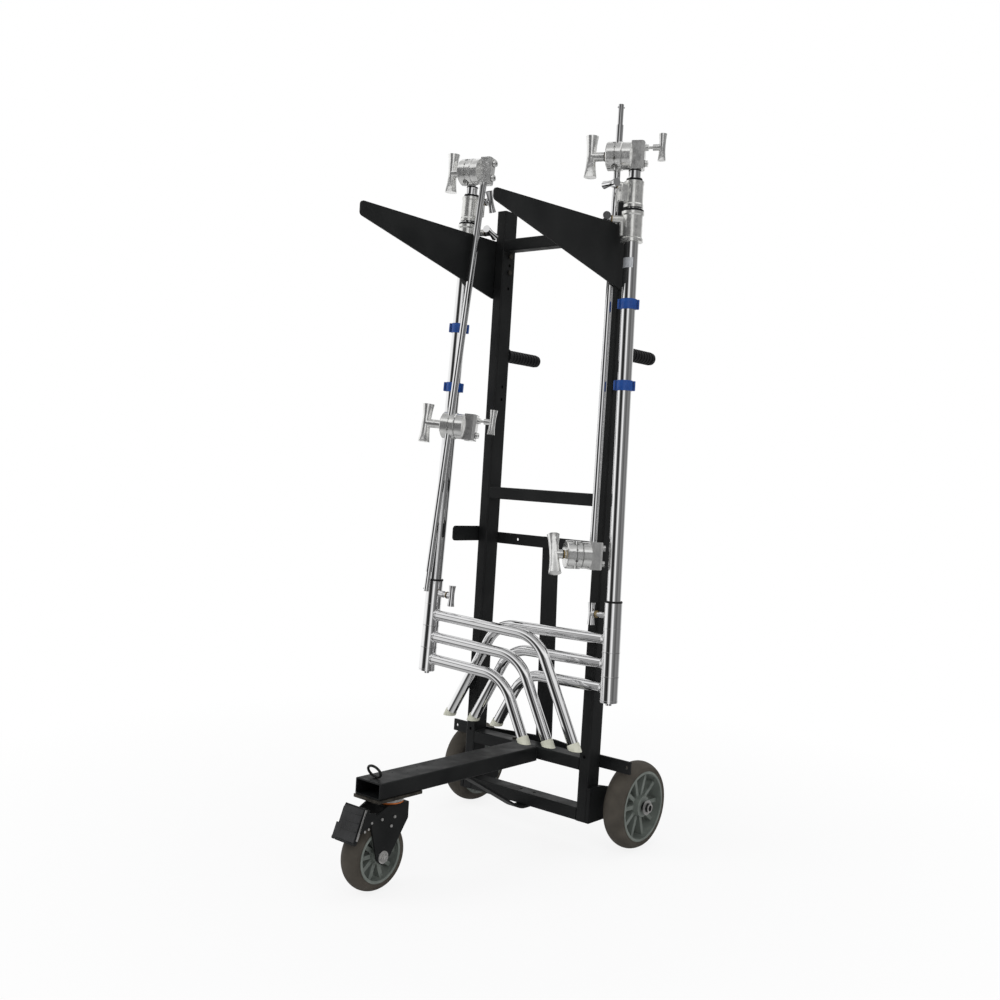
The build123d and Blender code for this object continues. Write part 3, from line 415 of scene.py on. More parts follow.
class Maker:
    """Makes finished pieces that ride on bodies of the model."""

    count: int = 0

    @staticmethod
    def piece(name: str, mesh: bpy.types.Mesh, body: str, finish: Finish, bevel: float = 0.0) -> bpy.types.Object:
        """Adds a mesh as a piece.

        Args:
            name: the piece's name.
            mesh: its mesh, already in the model's frame.
            body: the body that it rides on.
            finish: its finish.
            bevel: width of its rounded edges, in millimetres.

        Returns:
            The new object.
        """
        made = bpy.data.objects.new(name, mesh)
        bpy.context.scene.collection.objects.link(made)
        mesh.materials.append(finish.material())
        if bevel:
            rounding = made.modifiers.new("rounding", "BEVEL")
            rounding.width = bevel * MM
            rounding.segments = 2
            rounding.limit_method = "ANGLE"
        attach(made, body)
        Maker.count += 1
        log.info("%s rides on %s", name, body)
        return made

    @staticmethod
    def finished(name: str, built: bmesh.types.BMesh, smooth_angle: float = 35.0) -> bpy.types.Mesh:
        """Turns a bmesh into a mesh, smooth but for its sharp edges.

        Args:
            name: the mesh's name.
            built: the bmesh, which is freed.
            smooth_angle: edges sharper than this stay sharp, in degrees.

        Returns:
            The mesh.
        """
        bmesh.ops.recalc_face_normals(built, faces=built.faces)
        limit = math.radians(smooth_angle)
        for face in built.faces:
            face.smooth = True
        for edge in built.edges:
            edge.smooth = len(edge.link_faces) == 2 and edge.calc_face_angle(0) < limit
        mesh = bpy.data.meshes.new(name)
        built.to_mesh(mesh)
        built.free()
        return mesh

    @staticmethod
    def add_turned(built: bmesh.types.BMesh, place: Place, profile: list[tuple[float, float]], sides: int = 48,
                   closed: bool = True, sweep: float = 360) -> None:
        """Adds a solid of revolution about a place's Z.

        Args:
            built: the bmesh to add to.
            place: where it stands.
            profile: (radius, height) points in millimetres.
            sides: flats round it.
            closed: whether the profile joins up with its start.
            sweep: how far round it goes, in degrees.
        """
        matrix = place.matrix
        count = sides if sweep == 360 else sides + 1
        rings = []
        for radius, height in profile:
            if radius < 1e-6:
                rings.append([built.verts.new(matrix @ Vector((0, 0, height * MM)))])
                continue
            ring = []
            for step in range(count):
                angle = math.radians(sweep) * step / sides
                spot = Vector((radius * math.cos(angle), radius * math.sin(angle), height)) * MM
                ring.append(built.verts.new(matrix @ spot))
            rings.append(ring)
        pairs = list(zip(rings, rings[1:]))
        if closed:
            pairs.append((rings[-1], rings[0]))
        if count > sides:
            built.faces.new([ring[0] for ring in rings])
            built.faces.new([ring[-1] for ring in rings])
        for low, high in pairs:
            for step in range(sides):
                after = (step + 1) % count
                corners = [low[step % len(low)], low[after % len(low)], high[after % len(high)],
                           high[step % len(high)]]
                unique = list(dict.fromkeys(corners))
                if len(unique) > 2:
                    built.faces.new(unique)

    @staticmethod
    def add_block(built: bmesh.types.BMesh, place: Place, size: tuple[float, float, float]) -> None:
        """Adds a box centred on a place, its size in millimetres."""
        scale = Matrix.Diagonal((*(length * MM for length in size), 1))
        bmesh.ops.create_cube(built, size=1, matrix=place.matrix @ scale)

    @staticmethod
    def add_torus(built: bmesh.types.BMesh, place: Place, radius: float, wire: float, sides: int = 48,
                  squash: float = 1.0) -> None:
        """Adds a ring of round wire about a place's Z.

        Args:
            built: the bmesh to add to.
            place: the ring's middle.
            radius: from the middle to the wire's middle, in millimetres.
            wire: the wire's radius, in millimetres.
            sides: flats round the ring.
            squash: the wire's height as a share of its width.
        """
        profile = []
        for step in range(12):
            angle = 2 * math.pi * step / 12
            profile.append((radius + wire * math.cos(angle), wire * squash * math.sin(angle)))
        Maker.add_turned(built, place, profile, sides)


# ------------------------------------------------------------------ the cart
@dataclass
class Cart:
    """Small fittings of the cart's frame, its tongue, brake and wheels. Sizes are millimetres."""

    upright_x: float = 172
    inner_x: float = 158
    tube_y: float = 46
    upright_top: float = 1418
    caster_y: float = -450
    swivel_level: float = 93
    bar_tops: tuple[float, ...] = (1350, 746.6, 144, 28.6)
    bar_depths: tuple[float, ...] = (31.5, 31, 45, 45)
    bar_height: float = 28.6
    tongue_half: float = 35.5
    tongue_top: float = 144
    axle_end: float = 287
    axle_y: float = 110
    axle_z: float = 36.9
    wheel_x: float = 244
    wheel_half: float = 25
    caster_wheel_y: float = -486
    caster_axle_z: float = -9.5
    fork_outer: float = 30.5
    pedal_pivot: tuple[float, float] = (-524, 78.6)
    pedal_slope: float = 21
    bead: float = 1.7
    place: Place = field(init=False)

    def __post_init__(self) -> None:
        """Finds the cart's own axes from its caster's swivel."""
        spot, up = hinge_place("caster_swivel")
        swivel = Place(spot, Vector((1, 0, 0)), up)
        self.place = swivel.moved(y=-self.caster_y, z=-self.swivel_level)

    def spot(self, x: float, y: float, z: float) -> Place:
        """The cart's axes at a point of the cart, in millimetres."""
        return self.place.moved(x, y, z)

    def facing(self, x: float, y: float, z: float, direction: Vector) -> Place:
        """A point of the cart with Z along a direction given in the cart's axes."""
        turned = self.place.matrix.to_3x3() @ direction
        return self.spot(x, y, z).along(turned)

    def add_bead(self, built: bmesh.types.BMesh, start: Vector, end: Vector) -> None:
        """Adds a run of weld bead between two points of the cart.

        Args:
            built: the bmesh to add to.
            start: where it starts, in millimetres.
            end: where it ends, in millimetres.
        """
        run = end - start
        steps = max(3, round(run.length / 3.2))
        profile = [(0.0, 0.0)]
        for step in range(steps + 1):
            swell = 1.0 if step % 2 else 0.72
            profile.append((self.bead * swell, run.length * step / steps))
        profile.append((0.0, run.length))
        Maker.add_turned(built, self.facing(*start, run.normalized()), profile, 8, closed=False)

    def build_welds(self) -> None:
        """Lays weld beads where the crossbars and the tongue meet what carries them."""
        welds = bmesh.new()
        for top, depth in zip(self.bar_tops, self.bar_depths):
            for side in Side:
                edge = side.sign * self.inner_x
                for level in (top, top - self.bar_height):
                    self.add_bead(welds, Vector((edge, 3, level)), Vector((edge, depth - 3, level)))
                self.add_bead(welds, Vector((edge, depth, top - 3)), Vector((edge, depth, top - self.bar_height + 3)))
        for side in Side:
            edge = side.sign * self.tongue_half
            self.add_bead(welds, Vector((edge, 0, self.tongue_top - 3)), Vector((edge, 0, 112)))
        Maker.piece("weld_beads", Maker.finished("weld_beads", welds), "cart", POWDER_BLACK)

    def build_caps(self) -> None:
        """Closes the tops of the two uprights with plastic plugs."""
        caps = bmesh.new()
        for side in Side:
            centre = self.spot(side.sign * self.upright_x, self.tube_y / 2, self.upright_top + 1.2)
            Maker.add_block(caps, centre, (27, 45, 2.4))
        Maker.piece("upright_caps", Maker.finished("upright_caps", caps), "cart", BLACK_RUBBER, bevel=1)

    def build_holes(self) -> None:
        """Lays flat near-black discs inside the small holes of the frame: painted shade."""
        holes = bmesh.new()
        for name, mount in MOUNTS.items():
            if mount["kind"] == "bore" and mount["dims"]["r_mm"] < 5:
                axis = Vector(mount["axis"])
                inside = Place(Vector(mount["pos_m"]), Vector((1, 0, 0)), Vector((0, 0, 1))).along(axis)
                if "rear" in name:
                    continue
                Maker.add_turned(holes, inside.moved(z=-2.4), [(0, 0), (5.4, 0), (5.4, 0.4), (0, 0.4)], 20,
                                 closed=False)
        Maker.piece("hole_shadows", Maker.finished("hole_shadows", holes), "cart", PAINTED_SHADE)
        # Flat near-black specks on the tongue top, in the same finish.
        specks = bmesh.new()
        for x, y in ((-12, -430), (9, -405), (4, -372), (-16, -352)):
            Maker.add_turned(specks, self.spot(x, y, self.tongue_top), [(0, 0.15), (1.8, 0.15), (1.8, 0), (0, 0)], 14,
                             closed=False)
        Maker.piece("tongue_rivets", Maker.finished("tongue_rivets", specks), "cart", PAINTED_SHADE)

    def build_axle_ends(self) -> None:
        """Adds the washer, the hollow end and a near-black disc of painted shade in the bore of each rear axle."""
        for side in Side:
            out = Vector((side.sign, 0, 0))
            end = self.facing(side.sign * (self.axle_end - 1), self.axle_y, self.axle_z, out)
            ring = bmesh.new()
            Maker.add_turned(ring, end, [(6.6, 0), (10.4, 0), (10.4, 0.7), (9.9, 1.04), (7.2, 1.04), (6.6, 1.0)])
            Maker.add_turned(ring, end.moved(z=-8), [(10.2, 0), (17, 0), (17, 2), (10.2, 2)])
            Maker.piece(f"axle_ring_{side.word}", Maker.finished("axle_ring", ring), "cart", ZINC)
            # A near-black disc inside the hollow end is painted shade in the bore.
            bore = bmesh.new()
            Maker.add_turned(bore, end, [(0, 1.03), (6.8, 1.03), (6.8, 0.2), (0, 0.2)], closed=False)
            Maker.piece(f"axle_bore_shade_{side.word}", Maker.finished("axle_bore_shade", bore), "cart", PAINTED_SHADE)

    def build_caster(self) -> None:
        """Adds the caster's orange seal, its axle nuts with washers, and the rivets of its brake plates."""
        seal = bmesh.new()
        Maker.add_torus(seal, self.spot(0, self.caster_y, self.swivel_level + 1.4), 31.0, 1.3)
        Maker.piece("swivel_seal", Maker.finished("swivel_seal", seal), "cart", ORANGE)
        race = bmesh.new()
        profile = [(30.8, 3.2), (32.4, 3.6), (32.4, 9.6), (30.8, 10.4)]
        Maker.add_turned(race, self.spot(0, self.caster_y, self.swivel_level), profile, 64)
        Maker.piece("swivel_race", Maker.finished("swivel_race", race), "cart", ZINC)
        washers = bmesh.new()
        for side in Side:
            end = self.facing(side.sign * self.fork_outer, self.caster_wheel_y, self.caster_axle_z,
                              Vector((side.sign, 0, 0)))
            Maker.add_turned(washers, end, [(5, 0), (13, 0), (13, 1.6), (12, 2.2), (5, 2.2)])
            Maker.add_turned(washers, end.moved(z=6), [(0, 0), (4.9, 0), (4.9, 3), (4.2, 3.8), (0, 3.8)],
                             closed=False)
        Maker.piece("caster_washers", Maker.finished("caster_washers", washers), "caster", ZINC)
        rivets = bmesh.new()
        for side in Side:
            for y, z in ((-527, 69), (-535, 58), (-545, 55)):
                spot = self.facing(side.sign * (self.fork_outer + 4.4), y, z, Vector((side.sign, 0, 0)))
                Maker.add_turned(rivets, spot, [(0, 1.6), (1.4, 1.4), (2.4, 0.8), (2.7, 0), (0, -0.4)], 16,
                                 closed=False)
        Maker.piece("brake_rivets", Maker.finished("brake_rivets", rivets), "brake_pedal", ZINC)

    def build_brake_ribs(self) -> None:
        """Adds the rubber ribs, the lower lip and the bright side edge of the brake pad."""
        pivot_y, pivot_z = self.pedal_pivot
        slope = math.radians(self.pedal_slope)
        out = Vector((0, -math.cos(slope), math.sin(slope)))
        top = self.facing(0, pivot_y - 11, pivot_z + 18, out)
        across = self.place.x
        pad = Place(top.origin, across, top.z)
        ribs = bmesh.new()
        Maker.add_block(ribs, pad.moved(y=-36, z=7.4), (54, 66, 2.4))
        for step in range(3):
            Maker.add_block(ribs, pad.moved(y=-14 - 17 * step, z=8.9), (48, 2.4, 1.4))
        Maker.add_block(ribs, pad.moved(x=-31.5, y=-56, z=5.5), (9, 32, 5))
        Maker.piece("brake_ribs", Maker.finished("brake_ribs", ribs), "brake_pedal", WORN_RUBBER, bevel=0.6)
        lip = bmesh.new()
        Maker.add_block(lip, pad.moved(x=-4, y=-70, z=3.5), (64, 5, 9))
        Maker.add_block(lip, pad.moved(x=-35, y=-70, z=3), (7, 8, 9))
        Maker.piece("brake_lip", Maker.finished("brake_lip", lip), "brake_pedal", WORN_RUBBER, bevel=2.5)
        edge = bmesh.new()
        Maker.add_block(edge, pad.moved(x=29.6, y=-33, z=3.4), (1.2, 62, 5))
        Maker.piece("brake_edge", Maker.finished("brake_edge", edge), "brake_pedal", ZINC, bevel=0.3)

    def build_wheels(self) -> None:
        """Adds bead lines to the tyres, and a raised edge round each wheel's rim."""
        rows = [(side.sign * self.wheel_x, self.axle_y, self.axle_z, self.wheel_half, 100, 80.5,
                 f"rear_wheel_{side.word}", f"rear_{side.word}") for side in Side]
        rows.append((0, self.caster_wheel_y, self.caster_axle_z, 23.5, 75, 56, "caster_wheel", "caster"))
        for x, y, z, half, outer, rim, body, name in rows:
            lines, caps = bmesh.new(), bmesh.new()
            for way in (-1, 1):
                face = self.facing(x + way * half, y, z, Vector((way, 0, 0)))
                for radius, wire in ((rim + 1.0, 1.1), (outer - half * 0.4 - 2.5, 0.9), ((rim + outer) / 2 - 2, 0.7)):
                    Maker.add_torus(lines, face, radius, wire, 72, 0.7)
                Maker.add_turned(caps, face.moved(z=-1.5), [(rim - 6.2, 0), (rim - 0.6, 0), (rim - 0.6, 2.1),
                                                            (rim - 2, 2.9), (rim - 5, 2.9), (rim - 6.2, 2.0)], 72)
            Maker.piece(f"{name}_tyre_beads", Maker.finished("tyre_beads", lines), body, TYRE)
            Maker.piece(f"{name}_rim_edges", Maker.finished("rim_edges", caps), body, WHEEL)

    def build(self) -> None:
        """Builds every fitting of the cart."""
        self.build_welds()
        self.build_caps()
        self.build_holes()
        self.build_axle_ends()
        self.build_caster()
        self.build_brake_ribs()
        self.build_wheels()


# ------------------------------------------------------------------ the stands
@dataclass
class Stand:
    """The rubber, brass and plastic parts of one folding stand. Sizes are millimetres."""

    side: Side
    clip_levels: tuple[float, float]
    clip_turn: float
    foot_step: float
    label_azimuth: float = math.radians(148)
    label_level: float = 959
    label_height: float = 22
    label_sweep: float = 177
    sleeve_top: float = 218
    collar_top: float = 1083
    seal_level: float = 1150.3
    pin_foot: float = 1176
    leg_slope: float = 60
    foot_level: float = -110
    foot_rise: float = 12
    clip_height: float = 23
    clip_reach: float = 23.5
    lug_start: float = 18
    legs: tuple[tuple[str, float, float], ...] = (("bottom", 27, 241), ("middle", 81, 284), ("top", 135, 330))
    place: Place = field(init=False)

    def __post_init__(self) -> None:
        """Finds the stand's axes from the joints of its legs and base knob."""
        foot, axis = hinge_place(f"leg_bottom_{self.side.word}_fold", flip=self.side is Side.LEFT)
        _, ahead = hinge_place(f"knob_base_{self.side.word}_turn")
        self.place = Place(foot, ahead, axis)

    def body(self, word: str) -> str:
        """The name of one of the stand's bodies."""
        return f"{word}_{self.side.word}"

    def build_feet(self) -> None:
        """Puts a cream tip with a level sole, a weld collar and two hub rims on each leg."""
        slope = math.radians(self.leg_slope)
        for level, height, corner in self.legs:
            owner = self.body("stand") if level == "top" else self.body(f"leg_{level}")
            pitch = self.legs[1][1] - self.legs[0][1]
            sole = self.foot_level + self.foot_step * (height - self.legs[0][1]) / pitch
            reach = corner + (height - sole) / math.tan(slope)
            ankle = self.place.moved(x=reach - self.foot_rise / math.tan(slope), z=sole + self.foot_rise)
            down = self.place.x * math.cos(slope) - self.place.z * math.sin(slope)
            lower = Place(ankle.origin, self.place.y, down)
            floor = self.place.moved(z=sole - 0.15)
            foot = bmesh.new()
            rings = []
            for radius, start in ((12.4, -0.6), (13.4, -0.6), (14.1, 0.4), (14.1, None), (11, None)):
                ring = []
                for step in range(40):
                    angle = 2 * math.pi * step / 40
                    spot = lower.moved(x=radius * math.cos(angle), y=radius * math.sin(angle), z=start or 0).origin
                    if start is None:
                        drop = (spot - floor.origin).dot(self.place.z) / math.sin(slope)
                        spot = spot + down * drop
                    ring.append(foot.verts.new(spot))
                rings.append(ring)
            for low, high in zip(rings, rings[1:]):
                for step in range(40):
                    after = (step + 1) % 40
                    foot.faces.new((low[step], low[after], high[after], high[step]))
            foot.faces.new(rings[-1])
            Maker.piece(self.body(f"foot_{level}"), Maker.finished("foot", foot), owner, FOOT)
            collar = bmesh.new()
            neck = Place(self.place.moved(x=17.6, z=height).origin, self.place.y, self.place.x)
            Maker.add_turned(collar, neck, [(12.6, 0), (15.6, 0), (15.2, 1.8), (13.6, 3.4), (12.6, 4.2)], 40)
            Maker.piece(self.body(f"leg_weld_{level}"), Maker.finished("leg_weld", collar), owner, CHROME)
            rim = bmesh.new()
            for edge in (-26.9, 25.7):
                Maker.add_turned(rim, self.place.moved(z=height + edge),
                                 [(19.5, 0), (20.5, 0.2), (20.5, 1.0), (19.5, 1.2)])
            Maker.piece(self.body(f"hub_rims_{level}"), Maker.finished("hub_rims", rim), owner, CHROME)

    def build_bands(self) -> None:
        """Makes the black rings above the sleeve and collar, and the blue storage clips."""
        rings = bmesh.new()
        Maker.add_turned(rings, self.place.moved(z=self.sleeve_top),
                         [(16.05, 0), (19.4, 0), (20.1, 0.9), (20.1, 3.0), (19.2, 4.0), (16.05, 4.0)])
        Maker.add_turned(rings, self.place.moved(z=self.collar_top),
                         [(13.6, 0.1), (22.8, 0.1), (24, 1.1), (24, 3.9), (22.8, 4.9), (13.6, 4.9)])
        made = Maker.piece(self.body("black_rings"), Maker.finished("black_rings", rings), self.body("stand"),
                           BLACK_RUBBER)
        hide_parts(self.body("column_bands"))
        clips = bmesh.new()
        for level in self.clip_levels:
            middle = self.place.moved(z=level).turned(self.clip_turn)
            half = self.clip_height / 2
            Maker.add_turned(clips, middle, [(16.1, -half), (18.4, -half), (18.6, 1 - half), (18.6, half - 1),
                                             (18.4, half), (16.1, half)])
            for way in (-1, 1):
                Maker.add_block(clips, middle.moved(x=way * (self.clip_reach + 15) / 2),
                                (self.clip_reach - 15, 4.2, self.clip_height - 1))
                Maker.add_block(clips, middle.moved(x=way * (self.clip_reach - 1.2)), (3.6, 9, self.clip_height - 2))
        Maker.piece(self.body("clips"), Maker.finished("clips", clips), self.body("stand"), CLIP, bevel=0.8)

    def build_seals(self) -> None:
        """Makes the rubber ring over the upper collar and the ring under the head."""
        seal = bmesh.new()
        Maker.add_turned(seal, self.place.moved(z=self.seal_level),
                         [(9.6, 0), (16.4, 0), (17.9, 1.4), (17.9, 5.0), (16.6, 6.6), (9.6, 6.6)])
        Maker.add_turned(seal, self.place.moved(z=self.pin_foot - 3.6),
                         [(8.1, 0), (13.2, 0), (13.9, 0.7), (13.9, 2.9), (13.2, 3.5), (8.1, 3.5)])
        Maker.piece(self.body("riser_seals"), Maker.finished("riser_seals", seal), self.body("riser_top"),
                    BLACK_RUBBER)

    def build_washers(self) -> None:
        """Makes the brass washer and the dark ring behind each cross knob."""
        for word, start in (("lower", 45.3), ("upper", 45.3), ("base", 43.3)):
            screw = self.screw(word)
            brass, dark = bmesh.new(), bmesh.new()
            Maker.add_turned(brass, screw.moved(z=start - 0.1), [(5.2, 0), (8.5, 0), (8.5, 2.1), (5.2, 2.1)], 36)
            Maker.add_turned(dark, screw.moved(z=start + 2.1), [(7.55, 0), (8.3, 0), (8.3, 1.6), (7.55, 1.6)], 36)
            owner = self.body(f"knob_{word}")
            Maker.piece(self.body(f"washer_{word}"), Maker.finished("washer", brass), owner, BRASS)
            Maker.piece(self.body(f"knob_ring_{word}"), Maker.finished("knob_ring", dark), owner, BLACK_RUBBER)

    def dress_collars(self) -> None:
        """Turns the chrome of the two collars into a rough casting, and adds their lugs."""
        for node, low, high in (("column", 1016.5, 1083.5), ("riser_middle", 1091.5, 1150.5)):
            name = self.body(node)
            paint(frame["nodes"][name], collared(f"_{name}", CHROME, ROUGH_CAST, self.place, low, high))
        rows = [("upper", "riser_middle", 1102, 1142, 38, 9)]
        if self.side is Side.RIGHT:
            rows.append(("lower", "stand", 1029, 1069, 28.5, 7))
        start = self.lug_start
        for word, owner, low, high, reach, half in rows:
            screw = self.screw(word)
            out = (screw.z - self.place.z * screw.z.dot(self.place.z)).normalized()
            lug = bmesh.new()
            middle = Place(self.place.origin + self.place.z * ((low + high) / 2 * MM), out, self.place.z)
            Maker.add_block(lug, middle.moved(x=(start + reach) / 2), (reach - start, 2 * half, high - low))
            Maker.piece(self.body(f"collar_lug_{word}"), Maker.finished("lug", lug), self.body(owner), ROUGH_CAST,
                        bevel=3)

    def screw(self, word: str) -> Place:
        """Finds a cross knob's screw.

        Args:
            word: the knob's word in its node's name.

        Returns:
            The screw's origin, with Z pointing out to the knob.
        """
        spot, out = hinge_place(f"knob_{word}_{self.side.word}_turn")
        low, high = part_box(self.body(f"knob_{word}"))
        middle = (Vector(low) + Vector(high)) / 2
        if out.dot(middle - spot) < 0:
            out = -out
        return Place(spot, self.place.z, Vector((0, 0, 1))).along(out)

    def build_label(self) -> None:
        """Wraps the bare metal label round the column."""
        label = bmesh.new()
        start = Vector((math.cos(self.label_azimuth), math.sin(self.label_azimuth), 0))
        start = (start - self.place.z * start.dot(self.place.z)).normalized()
        wrap = Place(self.place.origin, start, self.place.z).moved(z=self.label_level)
        tall = self.label_height
        Maker.add_turned(label, wrap, [(16.05, 0), (16.35, 0), (16.35, tall), (16.05, tall)], 40,
                         sweep=self.label_sweep)
        Maker.piece(self.body("label"), Maker.finished("label", label), self.body("stand"), LABEL)

    def build(self) -> None:
        """Builds every part of the stand."""
        self.dress_collars()
        if self.side is Side.RIGHT:
            self.build_label()
        self.build_feet()
        self.build_bands()
        self.build_seals()
        self.build_washers()


# ------------------------------------------------------------------ grip heads
@dataclass
class GripHead:
    """Brass collar, dark ring and the painted shade in the bolt sockets of one grip head. Sizes are millimetres."""

    name: str
    block_body: str
    handle_body: str
    place: Place
    sockets: tuple[float, ...] = (-17.5,)
    block_far: float = 21
    block_height: float = 62
    collar_start: float = 63

    def dress_arm(self) -> None:
        """Turns the block at the end of an arm's chrome rod into a casting."""
        node = self.block_body
        half = self.block_height / 2 + 0.6
        paint(frame["nodes"][node], collared(f"_{node}", CHROME, CAST, self.place, -half, half))

    def build(self) -> None:
        """Builds the head's fittings."""
        if self.block_body.startswith("arm_"):
            self.dress_arm()
        back = Place(self.place.origin, self.place.y, -self.place.x)
        brass = bmesh.new()
        Maker.add_turned(brass, back.moved(z=self.collar_start + 1.2), [(6, 0), (9.3, 0), (9.7, 0.5), (9.7, 3.6),
                                                                        (9.3, 4.1), (6, 4.1)], 36)
        Maker.piece(f"{self.name}_brass_collar", Maker.finished("brass_collar", brass), self.handle_body, BRASS)
        dark = bmesh.new()
        Maker.add_turned(dark, back.moved(z=self.collar_start + 5.4),
                         [(10.05, 0), (10.6, 0), (10.6, 1.3), (10.05, 1.3)], 36)
        Maker.piece(f"{self.name}_collar_ring", Maker.finished("collar_ring", dark), self.handle_body, BLACK_RUBBER)
        # Near-black discs and rings in the bolt sockets are painted shade.
        recess = bmesh.new()
        for offset in self.sockets:
            socket = Place(self.place.moved(x=self.block_far, z=offset).origin, self.place.y, self.place.x)
            Maker.add_turned(recess, socket, [(0, 2.2), (3.6, 2.2), (3.6, 1.8), (0, 1.8)], 6, closed=False)
            Maker.add_turned(recess, socket, [(7.1, 0.1), (8.0, 0.1), (7.1, 0.9)], 32)
        Maker.piece(f"{self.name}_recesses", Maker.finished("recess_shades", recess), self.block_body, PAINTED_SHADE)


def grip_heads() -> list[GripHead]:
    """The four grip heads, placed by the joints of their handles.

    Returns:
        Left arm's head, loose head, right stand's head and right arm's head.
    """
    _, left_rod = hinge_place("head_jaws_left_slide")
    _, right_rod = hinge_place("arm_right_slide")
    rows = (
        ("left_arm_head", "arm_handle_left", "arm_left", "arm_handle_left", left_rod, (-17.5, 17.5)),
        ("loose_head", "head_handle_left", "head_block_left", "head_handle_left", left_rod, (-17.5,)),
        ("right_head", "head_handle_right", "riser_top_right", "head_handle_right", right_rod, (-17.5,)),
        ("right_arm_head", "arm_handle_right", "arm_right", "arm_handle_right", right_rod, (-17.5, 17.5)),
    )
    heads = []
    for name, joint, block, handle, up, sockets in rows:
        spot, bolt = hinge_place(f"{joint}_turn")
        heads.append(GripHead(name, block, handle, Place(spot, bolt, up), sockets))
    return heads


# ------------------------------------------------------------------ finishes on the model's own parts
def dress_nodes() -> None:
    """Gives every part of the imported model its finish."""
    for name, node in frame["nodes"].items():
        finish = finish_of(name).material()
        paint(node, finish)
        log.info("%s is %s", name, finish.name)


